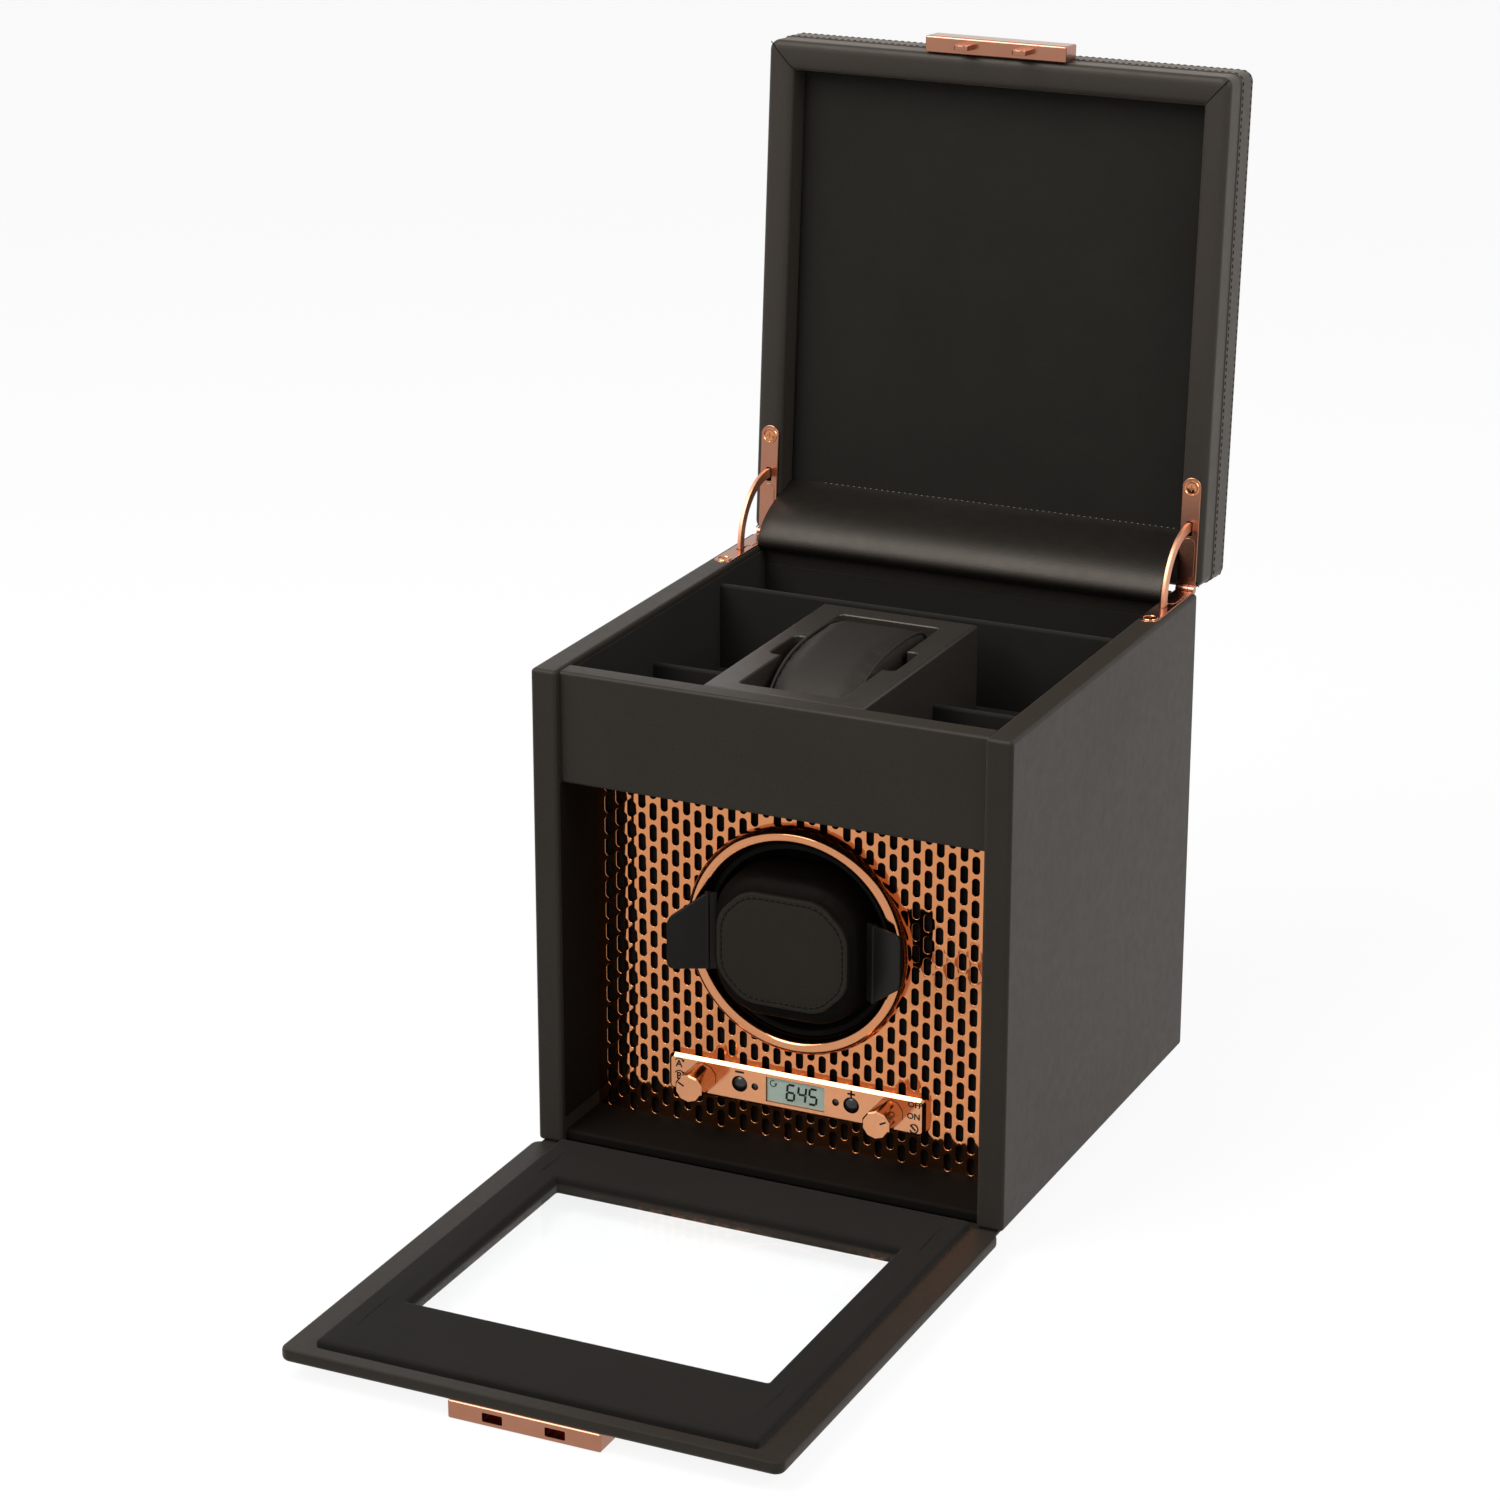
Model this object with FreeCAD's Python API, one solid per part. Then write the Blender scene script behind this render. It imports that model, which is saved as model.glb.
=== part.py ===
"""Watch winder box: a leather-covered cube with a storage tray under its lid and a winder behind a drop door.

Lengths are millimetres. X runs to the right, Y to the back and Z up. While the pieces are made, height zero
is the underside of the case; export() then lifts everything by the height of the plinth, so that the finished
model stands on z = 0. The lid and the door are drawn shut and swung open about their hinges.
"""
import FreeCAD
import Part
import os
from math import asin, ceil, cos, degrees, pi, radians, sin

V = FreeCAD.Vector
ORIGIN = V(0, 0, 0)
X_AXIS, Y_AXIS, Z_AXIS = V(1, 0, 0), V(0, 1, 0), V(0, 0, 1)

# Case
CASE_WIDTH = 200.0
CASE_DEPTH = 200.0
CASE_HEIGHT = 199.0
WALL = 11.0
EDGE_R = 2.5
TRIM_R = 1.5
FRONT_RECESS = 3.4
FLOOR_T = 5.0
FASCIA_BOTTOM = 152.5
FASCIA_TOP = 198.0
FASCIA_T = 10.0
PLINTH_HEIGHT = 11.0
PLINTH_INSET = 20.0
PLINTH_CORNER = 4.0
FELT_T = 1.0

# Storage tray
TRAY_FLOOR_T = 4.5
DIVIDER_T = 3.0
DIVIDER_R = 1.2
REAR_DIVIDER_Y = 46.0
REAR_DIVIDER_TOP = 193.0
CROSS_DIVIDER_Y = -16.0
CROSS_DIVIDER_TOP = 177.5
HOLDER_HALF = 33.5
HOLDER_BACK = 27.5
HOLDER_TOP = 197.5
HOLDER_FLOOR_T = 2.5
WELL_HALF = 21.5
WELL_FRONT = -78.0
WELL_BACK = 17.0
NOTCH_DEEP = 6.0
NOTCH_LONG = 14.0
NOTCH_HIGH = 9.0
NOTCH_Y = -14.0
PILLOW_GAP = 0.7
PILLOW_SHOULDER = 188.0
PILLOW_CROWN = 206.0

# Lid
LID_GAP = 0.6
LID_THICK = 30.0
LID_HALF = 100.5
LID_FRONT = -105.6
LID_REAR = 102.2
LID_CORNER_R = 4.5
LID_REAR_R = 3.0
LID_EDGE_R = 2.5
LID_RECESS = 15.0
LINING_T = 3.0
LID_FRONT_RIM = 12.5
RIM_LAND = 2.5
RIM_SLOPE = 1.0
LID_OPEN = 94.0
GUSSET_HALF = 84.0
GUSSET_T = 1.0
GUSSET_COURSE = ((88.6, 191.0), (88.8, 199.3), (92.6, 205.4), (101.0, 212.0), (114.6, 217.4))
LID_AXIS_Y = CASE_DEPTH / 2 + 2.0
LID_AXIS_Z = CASE_HEIGHT + LID_GAP / 2

# Lid hinges with quadrant stays
HINGE_X = 94.0
LEAF_WIDE = 8.0
LEAF_FRONT = 56.0
LEAF_END_R = 3.9
LEAF_T = 1.2
KNUCKLE_R = 1.7
PIN_R = 0.9
RUNNING = 0.05
KNUCKLE_GAP = 0.25
KNUCKLE_ROOM = 0.4
STAY_R = 25.5
STAY_WIDE = 4.0
STAY_T = 1.6
STAY_REACH = 55.0
STAY_ROOM = 0.5
POCKET_SPARE = 2.5
POCKET_MOUTH = 3.0
LEAF_SLOT_END = 96.0

# Door
DOOR_GAP = 0.3
DOOR_T = 5.0
DOOR_BOTTOM = 0.5
DOOR_TOP = 198.3
DOOR_CORNER_R = 4.0
DOOR_BEVEL = 1.5
DOOR_AXIS_Y = -101.75
DOOR_AXIS_Z = -0.25
DOOR_OPEN = 90.0
PAD_T = 3.0
PAD_HALF = 88.2
PAD_BOTTOM = 0.8
PAD_TOP = 192.0
WINDOW_HALF = 73.0
WINDOW_BOTTOM = 33.5
WINDOW_TOP = 151.0
PANE_LAP = 2.5
PANE_T = 2.0
PANE_SUNK = 1.0
STRAP_HALF = 98.0
STRAP_T = 1.0
STRAP_BEND_R = 0.9
STRAP_BACK = -85.0

# Clasp
CLASP_HALF = 30.5
CLASP_HIGH = 12.0
CLASP_EDGE = 1.0
DOOR_CLASP_T = 7.0
LID_CLASP_T = 6.5
HOOK_X = 12.5
HOOK_WIDE = 6.5
HOOK_T = 2.0
HOOK_LONG = 7.0
HOOK_R = 2.6
HOOK_ROOM = 0.8
HOOK_LEAN = 3.2

# Grille
GRILLE_FACE = -68.0
GRILLE_T = 4.2
SLOT_DEEP = 3.0
SLOT_WIDE = 3.1
SLOT_TALL = 7.2
COLUMN_PITCH = 4.9
ROW_PITCH = 9.0
SLOT_FIRST_Z = 40.3
GRILLE_EDGE = 1.0
GRILLE_TOP_EDGE = 6.0

# Winder
WINDER_Z = 92.0
RING_R = 47.0
RING_WIDE = 6.0
RING_PROUD = 6.0
RING_FACETS = 4
DRUM_HOLE_R = 41.5
DRUM_R = 40.0
DRUM_WALL = 2.5
DRUM_FRONT = -69.5
DRUM_BACK = -46.0
DRUM_FLOOR_T = 10.0
SOCKET_FLOOR = 0.5
SPIGOT_R = 6.0
SHAFT_R = 3.0
SHAFT_IN = 12.0
SHAFT_PLAY = 1.0
MOTOR_FRONT = -40.0
PLATE_T = 3.0
PLATE_HALF = 54.0
PLATE_HOLE_R = 5.0
POST_SPOT = 49.0
POST_R = 4.5
GEARBOX_R = 18.5
GEARBOX_LONG = 22.0
MOTOR_R = 12.0
MOTOR_LONG = 26.0

# Cuff
CUFF_WIDE = 65.0
CUFF_TALL = 62.0
CUFF_CORNER_R = 22.0
CUFF_BEVEL = 3.0
CUFF_FRONT = -83.5
CUFF_BACK = -56.5
PATCH_WIDE = 54.0
PATCH_TALL = 44.0
PATCH_CUT_X = 12.0
PATCH_CUT_Z = 11.0
PATCH_CORNER_R = 6.0
PATCH_T = 2.0
EAR_PIVOT_X = 35.5
EAR_PIVOT_Y = -77.0
EAR_TIP_X = 47.8
EAR_TIP_Y = -91.0
EAR_T = 1.8
EAR_LOW = -15.2
EAR_ROOT_HIGH = 17.0
EAR_TIP_HIGH = 5.9
EAR_NECK = 3.4
EAR_CORNER_R = 3.0
LUG_TALL = 8.0
LUG_GAP = 0.3
LUG_HALF = 2.2
LUG_SUNK = 2.0
PIVOT_R = 1.2

# Control strip
STRIP_HALF = 55.6
STRIP_BOTTOM = 19.4
STRIP_TOP = 35.2
STRIP_T = 4.0
STRIP_CORNER_R = 2.5
STRIP_BEVEL = 0.6
STRIP_Z = (STRIP_BOTTOM + STRIP_TOP) / 2
STRIP_FACE = GRILLE_FACE - STRIP_T
BAY_HALF = 48.0
BAY_TALL = 8.6
LCD_WIDE = 25.4
LCD_TALL = 10.6
LCD_SUNK = 0.8
BUTTON_X = 24.2
BUTTON_R = 3.1
BUTTON_ROOM = 0.3
BUTTON_PROUD = 0.6
BUTTON_BEVEL = 0.4
BUTTON_FLANGE_R = 3.9
BUTTON_FLANGE_T = 1.2
BUTTON_PLAY = 0.1
BUTTON_TRAVEL = 1.0
KNOB_X = 40.4
KNOB_R = 6.0
KNOB_FLUTES = 10
KNOB_FLUTE_DEEP = 0.45
KNOB_BEVEL = 0.35
KNOB_PLAY = 0.3
KNOB_LONG = 13.2
KNOB_SHAFT_R = 2.6
BOARD_FRONT = -58.0
BOARD_T = 1.6
TACT_HALF = 3.0
SWITCH_HALF = 4.2
SWITCH_T = 5.0

# Power inlet
INLET_X = -62.0
INLET_Z = 40.0
INLET_R = 5.5
INLET_PROUD = 1.2
INLET_LONG = 13.0
INLET_BORE_R = 2.8
INLET_DEEP = 9.5
INLET_PIN_R = 1.0
INLET_PIN_SUNK = 1.2

HALF_W = CASE_WIDTH / 2
HALF_D = CASE_DEPTH / 2
INNER_HALF = HALF_W - WALL
BACK_INNER = HALF_D - WALL
FRONT_FACE = -HALF_D + FRONT_RECESS
TRAY_FLOOR = FASCIA_BOTTOM + TRAY_FLOOR_T
FASCIA_BACK = FRONT_FACE + FASCIA_T
LID_BOTTOM = CASE_HEIGHT + LID_GAP
LID_TOP = LID_BOTTOM + LID_THICK
DOOR_INNER = -HALF_D - DOOR_GAP
DOOR_OUTER = DOOR_INNER - DOOR_T


# Small helpers

def box(x0, x1, y0, y1, z0, z1):
    return Part.makeBox(x1 - x0, y1 - y0, z1 - z0, V(x0, y0, z0))


def rod_x(r, x0, x1, y, z):
    return Part.makeCylinder(r, x1 - x0, V(x0, y, z), X_AXIS)


def rod_y(r, y0, y1, x, z):
    return Part.makeCylinder(r, y1 - y0, V(x, y0, z), Y_AXIS)


def rod_z(r, z0, z1, x, y):
    return Part.makeCylinder(r, z1 - z0, V(x, y, z0), Z_AXIS)


def edges(shape, axis, keep=lambda p: True):
    """Straight edges along an axis whose middle point passes the test."""
    found = []
    for edge in shape.Edges:
        if edge.Curve.TypeId != "Part::GeomLine":
            continue
        first, last = edge.FirstParameter, edge.LastParameter
        if abs(edge.tangentAt(first).dot(axis)) > 0.999 and keep(edge.valueAt((first + last) / 2)):
            found.append(edge)
    return found


def rounded(shape, radius, axis, keep=lambda p: True):
    return shape.makeFillet(radius, edges(shape, axis, keep))


def edge_ring(shape, axis, level):
    """Every edge that lies in one plane across an axis."""
    def on_level(edge):
        return all(abs(v.Point.dot(axis) - level) < 0.001 for v in edge.Vertexes)
    return [edge for edge in shape.Edges if on_level(edge)]


def slab_y(points, y0, y1):
    """A flat outline in X and Z, carried from y0 to y1."""
    loop = [V(x, y0, z) for x, z in points]
    face = Part.Face(Part.makePolygon(loop + loop[:1]))
    return face.extrude(V(0, y1 - y0, 0))


def turned_y(profile, x, z):
    """A profile of radius and y points, turned about a line along Y."""
    loop = [V(x + r, y, z) for r, y in profile]
    face = Part.Face(Part.makePolygon(loop + loop[:1]))
    return face.revolve(V(x, 0, z), Y_AXIS, 360)


def both_sides(shape):
    """The right-hand piece and its mirror image on the left."""
    return shape, shape.mirror(ORIGIN, X_AXIS)


def opened(shape, y, z, angle):
    """A shut piece swung about a line along X."""
    turned = shape.copy()
    turned.rotate(V(0, y, z), X_AXIS, angle)
    return turned


def open_lid(shape):
    return opened(shape, LID_AXIS_Y, LID_AXIS_Z, -LID_OPEN)


def open_door(shape):
    return opened(shape, DOOR_AXIS_Y, DOOR_AXIS_Z, DOOR_OPEN)


def export(name, shape):
    """Stand the piece on the plinth's height and write it."""
    placed = shape.copy()
    placed.translate(V(0, 0, PLINTH_HEIGHT))
    if not placed.isValid() or placed.Volume <= 0:
        raise RuntimeError("bad solid: " + name)
    placed.exportStep("parts/" + name + ".step")


# Lid hinges: a leaf with its pin on the case, a leaf on the lid and a curved stay

def stay_sector(inner, outer, x0, x1, low, high):
    """Part of a ring about the lid's hinge line, between two angles above the horizontal."""
    def at(radius, angle):
        a = radians(angle)
        return V(x0, LID_AXIS_Y - radius * cos(a), LID_AXIS_Z + radius * sin(a))
    middle = (low + high) / 2
    rim = Part.Arc(at(outer, low), at(outer, middle), at(outer, high)).toShape()
    bore = Part.Arc(at(inner, high), at(inner, middle), at(inner, low)).toShape()
    high_end = Part.makeLine(at(outer, high), at(inner, high))
    low_end = Part.makeLine(at(inner, low), at(outer, low))
    face = Part.Face(Part.Wire([rim, high_end, bore, low_end]))
    return face.extrude(V(x1 - x0, 0, 0))


def stay_pocket(low, high):
    half = STAY_T / 2 + STAY_ROOM
    reach = STAY_WIDE / 2 + STAY_ROOM
    return stay_sector(STAY_R - reach, STAY_R + reach, HINGE_X - half, HINGE_X + half, low, high)


def make_stay():
    half = STAY_T / 2
    reach = STAY_WIDE / 2
    x0, x1 = HINGE_X - half, HINGE_X + half
    return stay_sector(STAY_R - reach, STAY_R + reach, x0, x1, -STAY_REACH, STAY_REACH)


def leaf_seat(z0, z1):
    half = LEAF_WIDE / 2
    return box(HINGE_X - half, HINGE_X + half, LEAF_FRONT, HALF_D, z0, z1)


def leaf(z0, z1, knuckles):
    """One leaf with its slot for the stay and its knuckles, not yet bored."""
    half = STAY_T / 2 + STAY_ROOM
    plate = leaf_seat(z0, z1)
    plate = rounded(plate, LEAF_END_R, Z_AXIS, lambda p: p.y == LEAF_FRONT)
    slot_front = LID_AXIS_Y - STAY_R - STAY_WIDE / 2 - STAY_ROOM
    plate = plate.cut(box(HINGE_X - half, HINGE_X + half, slot_front, LEAF_SLOT_END, z0, z1))
    for x0, x1 in knuckles:
        barrel = rod_x(KNUCKLE_R, x0, x1, LID_AXIS_Y, LID_AXIS_Z)
        tongue = box(x0, x1, HALF_D, LID_AXIS_Y, z0, z1)
        plate = plate.fuse([barrel, tongue])
    return plate


def knuckle_spans():
    """Outer pair on the case, middle one on the lid."""
    third = LEAF_WIDE / 3
    left = HINGE_X - LEAF_WIDE / 2
    gap = KNUCKLE_GAP / 2
    spans = [(left + i * third + gap, left + (i + 1) * third - gap) for i in range(3)]
    return [spans[0], spans[2]], [spans[1]]


def make_lid_hinge():
    case_spans, lid_spans = knuckle_spans()
    pin = rod_x(PIN_R, case_spans[0][1], case_spans[1][0], LID_AXIS_Y, LID_AXIS_Z)
    case_leaf = leaf(CASE_HEIGHT - LEAF_T, CASE_HEIGHT, case_spans).fuse(pin).removeSplitter()
    bore = rod_x(PIN_R + RUNNING, lid_spans[0][0], lid_spans[0][1], LID_AXIS_Y, LID_AXIS_Z)
    lid_leaf = leaf(LID_BOTTOM, LID_BOTTOM + LEAF_T, lid_spans).cut(bore).removeSplitter()
    stay = opened(make_stay(), LID_AXIS_Y, LID_AXIS_Z, -LID_OPEN / 2)
    for side, piece in zip(("right", "left"), both_sides(case_leaf)):
        export("hinge_leaf_case_" + side, piece)
    for side, piece in zip(("right", "left"), both_sides(lid_leaf)):
        export("hinge_leaf_lid_" + side, open_lid(piece))
    for side, piece in zip(("right", "left"), both_sides(stay)):
        export("stay_arm_" + side, piece)


# Case

def make_walls():
    wall = box(INNER_HALF, HALF_W, -HALF_D, HALF_D, 0, CASE_HEIGHT)
    wall = rounded(wall, EDGE_R, Z_AXIS, lambda p: p.x > INNER_HALF + 1 or p.y < 0)
    wall = wall.cut(leaf_seat(CASE_HEIGHT - LEAF_T, CASE_HEIGHT))
    wall = wall.cut(stay_pocket(-STAY_REACH - POCKET_SPARE, POCKET_MOUTH))
    for side, piece in zip(("right", "left"), both_sides(wall)):
        export("side_wall_" + side, piece)
    back = box(-INNER_HALF, INNER_HALF, BACK_INNER, HALF_D, 0, CASE_HEIGHT)
    back = back.cut(rod_y(INLET_R, BACK_INNER, HALF_D, INLET_X, INLET_Z))
    export("back_wall", back)
    floor = box(-INNER_HALF, INNER_HALF, FRONT_FACE, BACK_INNER, 0, FLOOR_T)
    export("bottom_board", rounded(floor, TRIM_R, X_AXIS, lambda p: p.y == FRONT_FACE and p.z == FLOOR_T))
    fascia = box(-INNER_HALF, INNER_HALF, FRONT_FACE, FASCIA_BACK, FASCIA_BOTTOM, FASCIA_TOP)
    fascia = rounded(fascia, TRIM_R, X_AXIS, lambda p: p.y == FRONT_FACE or p.z == FASCIA_TOP)
    export("front_fascia", fascia)


def make_base():
    half = HALF_W - PLINTH_INSET
    plinth = box(-half, half, -half, half, FELT_T - PLINTH_HEIGHT, 0)
    export("base_plinth", plinth.makeChamfer(PLINTH_CORNER, edges(plinth, Z_AXIS)))
    felt_half = half - FELT_T
    felt = box(-felt_half, felt_half, -felt_half, felt_half, -PLINTH_HEIGHT, FELT_T - PLINTH_HEIGHT)
    export("base_felt", felt.makeChamfer(PLINTH_CORNER, edges(felt, Z_AXIS)))


def make_power_inlet():
    face = HALF_D + INLET_PROUD
    barrel = rod_y(INLET_R, face - INLET_LONG, face, INLET_X, INLET_Z)
    barrel = barrel.cut(rod_y(INLET_BORE_R, face - INLET_DEEP, face, INLET_X, INLET_Z))
    pin = rod_y(INLET_PIN_R, face - INLET_DEEP, face - INLET_PIN_SUNK, INLET_X, INLET_Z)
    export("power_inlet", barrel.fuse(pin).removeSplitter())


# Storage tray

def make_tray():
    floor = box(-INNER_HALF, INNER_HALF, FASCIA_BACK, BACK_INNER, FASCIA_BOTTOM, TRAY_FLOOR)
    export("tray_floor", floor)
    half = DIVIDER_T / 2
    rear_y = REAR_DIVIDER_Y
    rear = box(-INNER_HALF, INNER_HALF, rear_y - half, rear_y + half, TRAY_FLOOR, REAR_DIVIDER_TOP)
    export("rear_divider", rounded(rear, DIVIDER_R, X_AXIS, lambda p: p.z == REAR_DIVIDER_TOP))
    cross_y = CROSS_DIVIDER_Y
    cross = box(HOLDER_HALF, INNER_HALF, cross_y - half, cross_y + half, TRAY_FLOOR, CROSS_DIVIDER_TOP)
    cross = rounded(cross, DIVIDER_R, X_AXIS, lambda p: p.z == CROSS_DIVIDER_TOP)
    for side, piece in zip(("right", "left"), both_sides(cross)):
        export("cross_divider_" + side, piece)


def make_watch_holder():
    holder = box(-HOLDER_HALF, HOLDER_HALF, FASCIA_BACK, HOLDER_BACK, TRAY_FLOOR, HOLDER_TOP)
    holder = rounded(holder, TRIM_R, X_AXIS, lambda p: p.z == HOLDER_TOP and p.y == HOLDER_BACK)
    holder = rounded(holder, TRIM_R, Y_AXIS, lambda p: p.z == HOLDER_TOP)
    well_floor = TRAY_FLOOR + HOLDER_FLOOR_T
    holder = holder.cut(box(-WELL_HALF, WELL_HALF, WELL_FRONT, WELL_BACK, well_floor, HOLDER_TOP))
    notch_half = WELL_HALF + NOTCH_DEEP
    notch = box(-notch_half, notch_half, NOTCH_Y - NOTCH_LONG / 2, NOTCH_Y + NOTCH_LONG / 2,
                HOLDER_TOP - NOTCH_HIGH, HOLDER_TOP)
    export("watch_holder", holder.cut(notch))


def make_pillow():
    front = WELL_FRONT + PILLOW_GAP
    back = WELL_BACK - PILLOW_GAP
    half = WELL_HALF - PILLOW_GAP
    bottom = TRAY_FLOOR + HOLDER_FLOOR_T
    low_front, low_back = V(-half, front, bottom), V(-half, back, bottom)
    high_front, high_back = V(-half, front, PILLOW_SHOULDER), V(-half, back, PILLOW_SHOULDER)
    crown = V(-half, (front + back) / 2, PILLOW_CROWN)
    base = Part.makePolygon([high_front, low_front, low_back, high_back])
    arch = Part.Arc(high_back, crown, high_front).toShape()
    export("watch_pillow", Part.Face(Part.Wire(base.Edges + [arch])).extrude(V(2 * half, 0, 0)))


# Lid

def make_lid():
    shell = box(-LID_HALF, LID_HALF, LID_FRONT, LID_REAR, LID_BOTTOM, LID_TOP)
    shell = rounded(shell, LID_CORNER_R, Z_AXIS, lambda p: p.y < 0)
    shell = rounded(shell, LID_REAR_R, Z_AXIS, lambda p: p.y > LID_REAR - 1)
    shell = shell.makeFillet(LID_EDGE_R, edge_ring(shell, Z_AXIS, LID_TOP))
    inner_front = LID_FRONT + LID_FRONT_RIM
    ceiling = LID_BOTTOM + LID_RECESS
    shell = shell.cut(box(-INNER_HALF, INNER_HALF, inner_front, BACK_INNER, LID_BOTTOM, ceiling))
    shell = shell.cut(rim_slope(inner_front))
    half = LEAF_WIDE / 2
    seat = leaf_seat(LID_BOTTOM, LID_BOTTOM + LEAF_T)
    knuckle_top = LID_AXIS_Z + KNUCKLE_R + KNUCKLE_ROOM
    knuckle_front = LID_AXIS_Y - KNUCKLE_R - KNUCKLE_ROOM
    room = box(HINGE_X - half, HINGE_X + half, knuckle_front, LID_REAR, LID_BOTTOM, knuckle_top)
    pocket = stay_pocket(-POCKET_MOUTH, STAY_REACH + POCKET_SPARE)
    for cutter in (seat, room, pocket):
        for piece in both_sides(cutter):
            shell = shell.cut(piece)
    export("lid_shell", open_lid(shell))
    lining = box(-INNER_HALF, INNER_HALF, inner_front, BACK_INNER, ceiling - LINING_T, ceiling)
    export("lid_lining", open_lid(lining))


def rim_slope(inner_front):
    """What the mitred, inward-sloping face takes off the rim on its left, front and right."""
    def loop(half, front, z):
        points = [V(-half, front, z), V(half, front, z), V(half, BACK_INNER, z), V(-half, BACK_INNER, z)]
        return Part.makePolygon(points + points[:1])
    outer = loop(LID_HALF - RIM_LAND, LID_FRONT + RIM_LAND, LID_BOTTOM)
    inner = loop(INNER_HALF, inner_front, LID_BOTTOM + RIM_SLOPE)
    return Part.makeLoft([outer, inner], True, True)


def make_gusset():
    """The soft flap that covers the hinge line, from the case's back wall to the lid's lining."""
    spine = Part.BSplineCurve()
    spine.interpolate([V(-GUSSET_HALF, y, z) for y, z in GUSSET_COURSE])
    strip = spine.toShape().extrude(V(2 * GUSSET_HALF, 0, 0))
    export("lid_gusset", strip.makeOffsetShape(GUSSET_T, 0.01, fill=True))


# Door

def make_door():
    board = box(-HALF_W, HALF_W, DOOR_OUTER, DOOR_INNER, DOOR_BOTTOM, DOOR_TOP)
    board = rounded(board, DOOR_CORNER_R, Y_AXIS)
    board = board.makeChamfer(DOOR_BEVEL, edge_ring(board, Y_AXIS, DOOR_OUTER))
    board = board.cut(window_block(0, DOOR_OUTER, DOOR_INNER))
    rebate = DOOR_INNER - PANE_SUNK - PANE_T
    board = board.cut(window_block(PANE_LAP, rebate, DOOR_INNER))
    export("door_board", open_door(board))
    export("door_window", open_door(window_block(PANE_LAP, rebate, rebate + PANE_T)))
    pad_face = DOOR_INNER + PAD_T
    pad = box(-PAD_HALF, PAD_HALF, DOOR_INNER, pad_face, PAD_BOTTOM, PAD_TOP)
    pad = pad.makeChamfer(PAD_T / 2, edge_ring(pad, Y_AXIS, pad_face))
    export("door_pad", open_door(pad.cut(window_block(0, DOOR_INNER, pad_face))))


def window_block(lap, y0, y1):
    half = WINDOW_HALF + lap
    return box(-half, half, y0, y1, WINDOW_BOTTOM - lap, WINDOW_TOP + lap)


def make_door_strap():
    """The leather hinge: glued under the floor, and bent down along the lower edge of the open door."""
    fold = DOOR_AXIS_Y - DOOR_BOTTOM + DOOR_AXIS_Z
    door_low = DOOR_AXIS_Z + DOOR_OUTER + DOOR_BEVEL - DOOR_AXIS_Y
    flat = box(-STRAP_HALF, STRAP_HALF, fold, STRAP_BACK, -STRAP_T, 0)
    drop = box(-STRAP_HALF, STRAP_HALF, fold, fold + STRAP_T, door_low, 0)
    strap = flat.fuse(drop).removeSplitter()
    export("door_hinge_strap", rounded(strap, STRAP_BEND_R, X_AXIS, lambda p: p.y == fold and p.z == 0))


# Clasp

def clasp_block(back, thick, bottom):
    """Half of the clasp: a bar with bevelled front edges, its back on the leather."""
    front = back - thick
    block = box(-CLASP_HALF, CLASP_HALF, front, back, bottom, bottom + CLASP_HIGH)
    return block.makeChamfer(CLASP_EDGE, edge_ring(block, Y_AXIS, front))


def make_clasp():
    lid_block = clasp_block(LID_FRONT, LID_CLASP_T, LID_BOTTOM)
    door_block = clasp_block(DOOR_OUTER, DOOR_CLASP_T, DOOR_TOP - CLASP_HIGH)
    hook_y = LID_FRONT - HOOK_LEAN
    half_t = HOOK_T / 2
    for x in (-HOOK_X, HOOK_X):
        half = HOOK_WIDE / 2
        hook = box(x - half, x + half, hook_y - half_t, hook_y + half_t, LID_BOTTOM - HOOK_LONG, LID_BOTTOM)
        hook = rounded(hook, HOOK_R, Y_AXIS, lambda p: p.z < LID_BOTTOM - 1)
        lid_block = lid_block.fuse(hook)
        room = half + HOOK_ROOM
        slot = box(x - room, x + room, hook_y - half_t - HOOK_ROOM, hook_y + half_t + HOOK_ROOM,
                   DOOR_TOP - HOOK_LONG - HOOK_ROOM, DOOR_TOP)
        door_block = door_block.cut(slot)
    export("lid_clasp", open_lid(lid_block.removeSplitter()))
    export("door_clasp", open_door(door_block))


# Grille

def slot_centres():
    """Staggered rows of slots, clear of the drum's hole, the control bay and the panel's edges."""
    columns = int(INNER_HALF / COLUMN_PITCH)
    rows = ceil(CASE_HEIGHT / ROW_PITCH)
    half_tall = SLOT_TALL / 2
    for i in range(-columns, columns + 1):
        x = i * COLUMN_PITCH
        for j in range(-rows, rows):
            z = SLOT_FIRST_Z + (j + (i % 2) / 2) * ROW_PITCH
            inside_panel = (abs(x) + SLOT_WIDE / 2 + GRILLE_EDGE < INNER_HALF
                            and z - half_tall > FLOOR_T + GRILLE_EDGE
                            and z + half_tall < FASCIA_BOTTOM - GRILLE_TOP_EDGE)
            clear_of_drum = x * x + (z - WINDER_Z) ** 2 > (DRUM_HOLE_R + half_tall + GRILLE_EDGE) ** 2
            clear_of_bay = (abs(x) > BAY_HALF + SLOT_WIDE
                            or abs(z - STRIP_Z) > BAY_TALL / 2 + half_tall + GRILLE_EDGE / 2)
            if inside_panel and clear_of_drum and clear_of_bay:
                yield x, z


def rectangle(x0, x1, z0, z1):
    corners = ((x0, z0), (x1, z0), (x1, z1), (x0, z1), (x0, z0))
    return Part.makePolygon([V(x, GRILLE_FACE, z) for x, z in corners])


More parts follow.
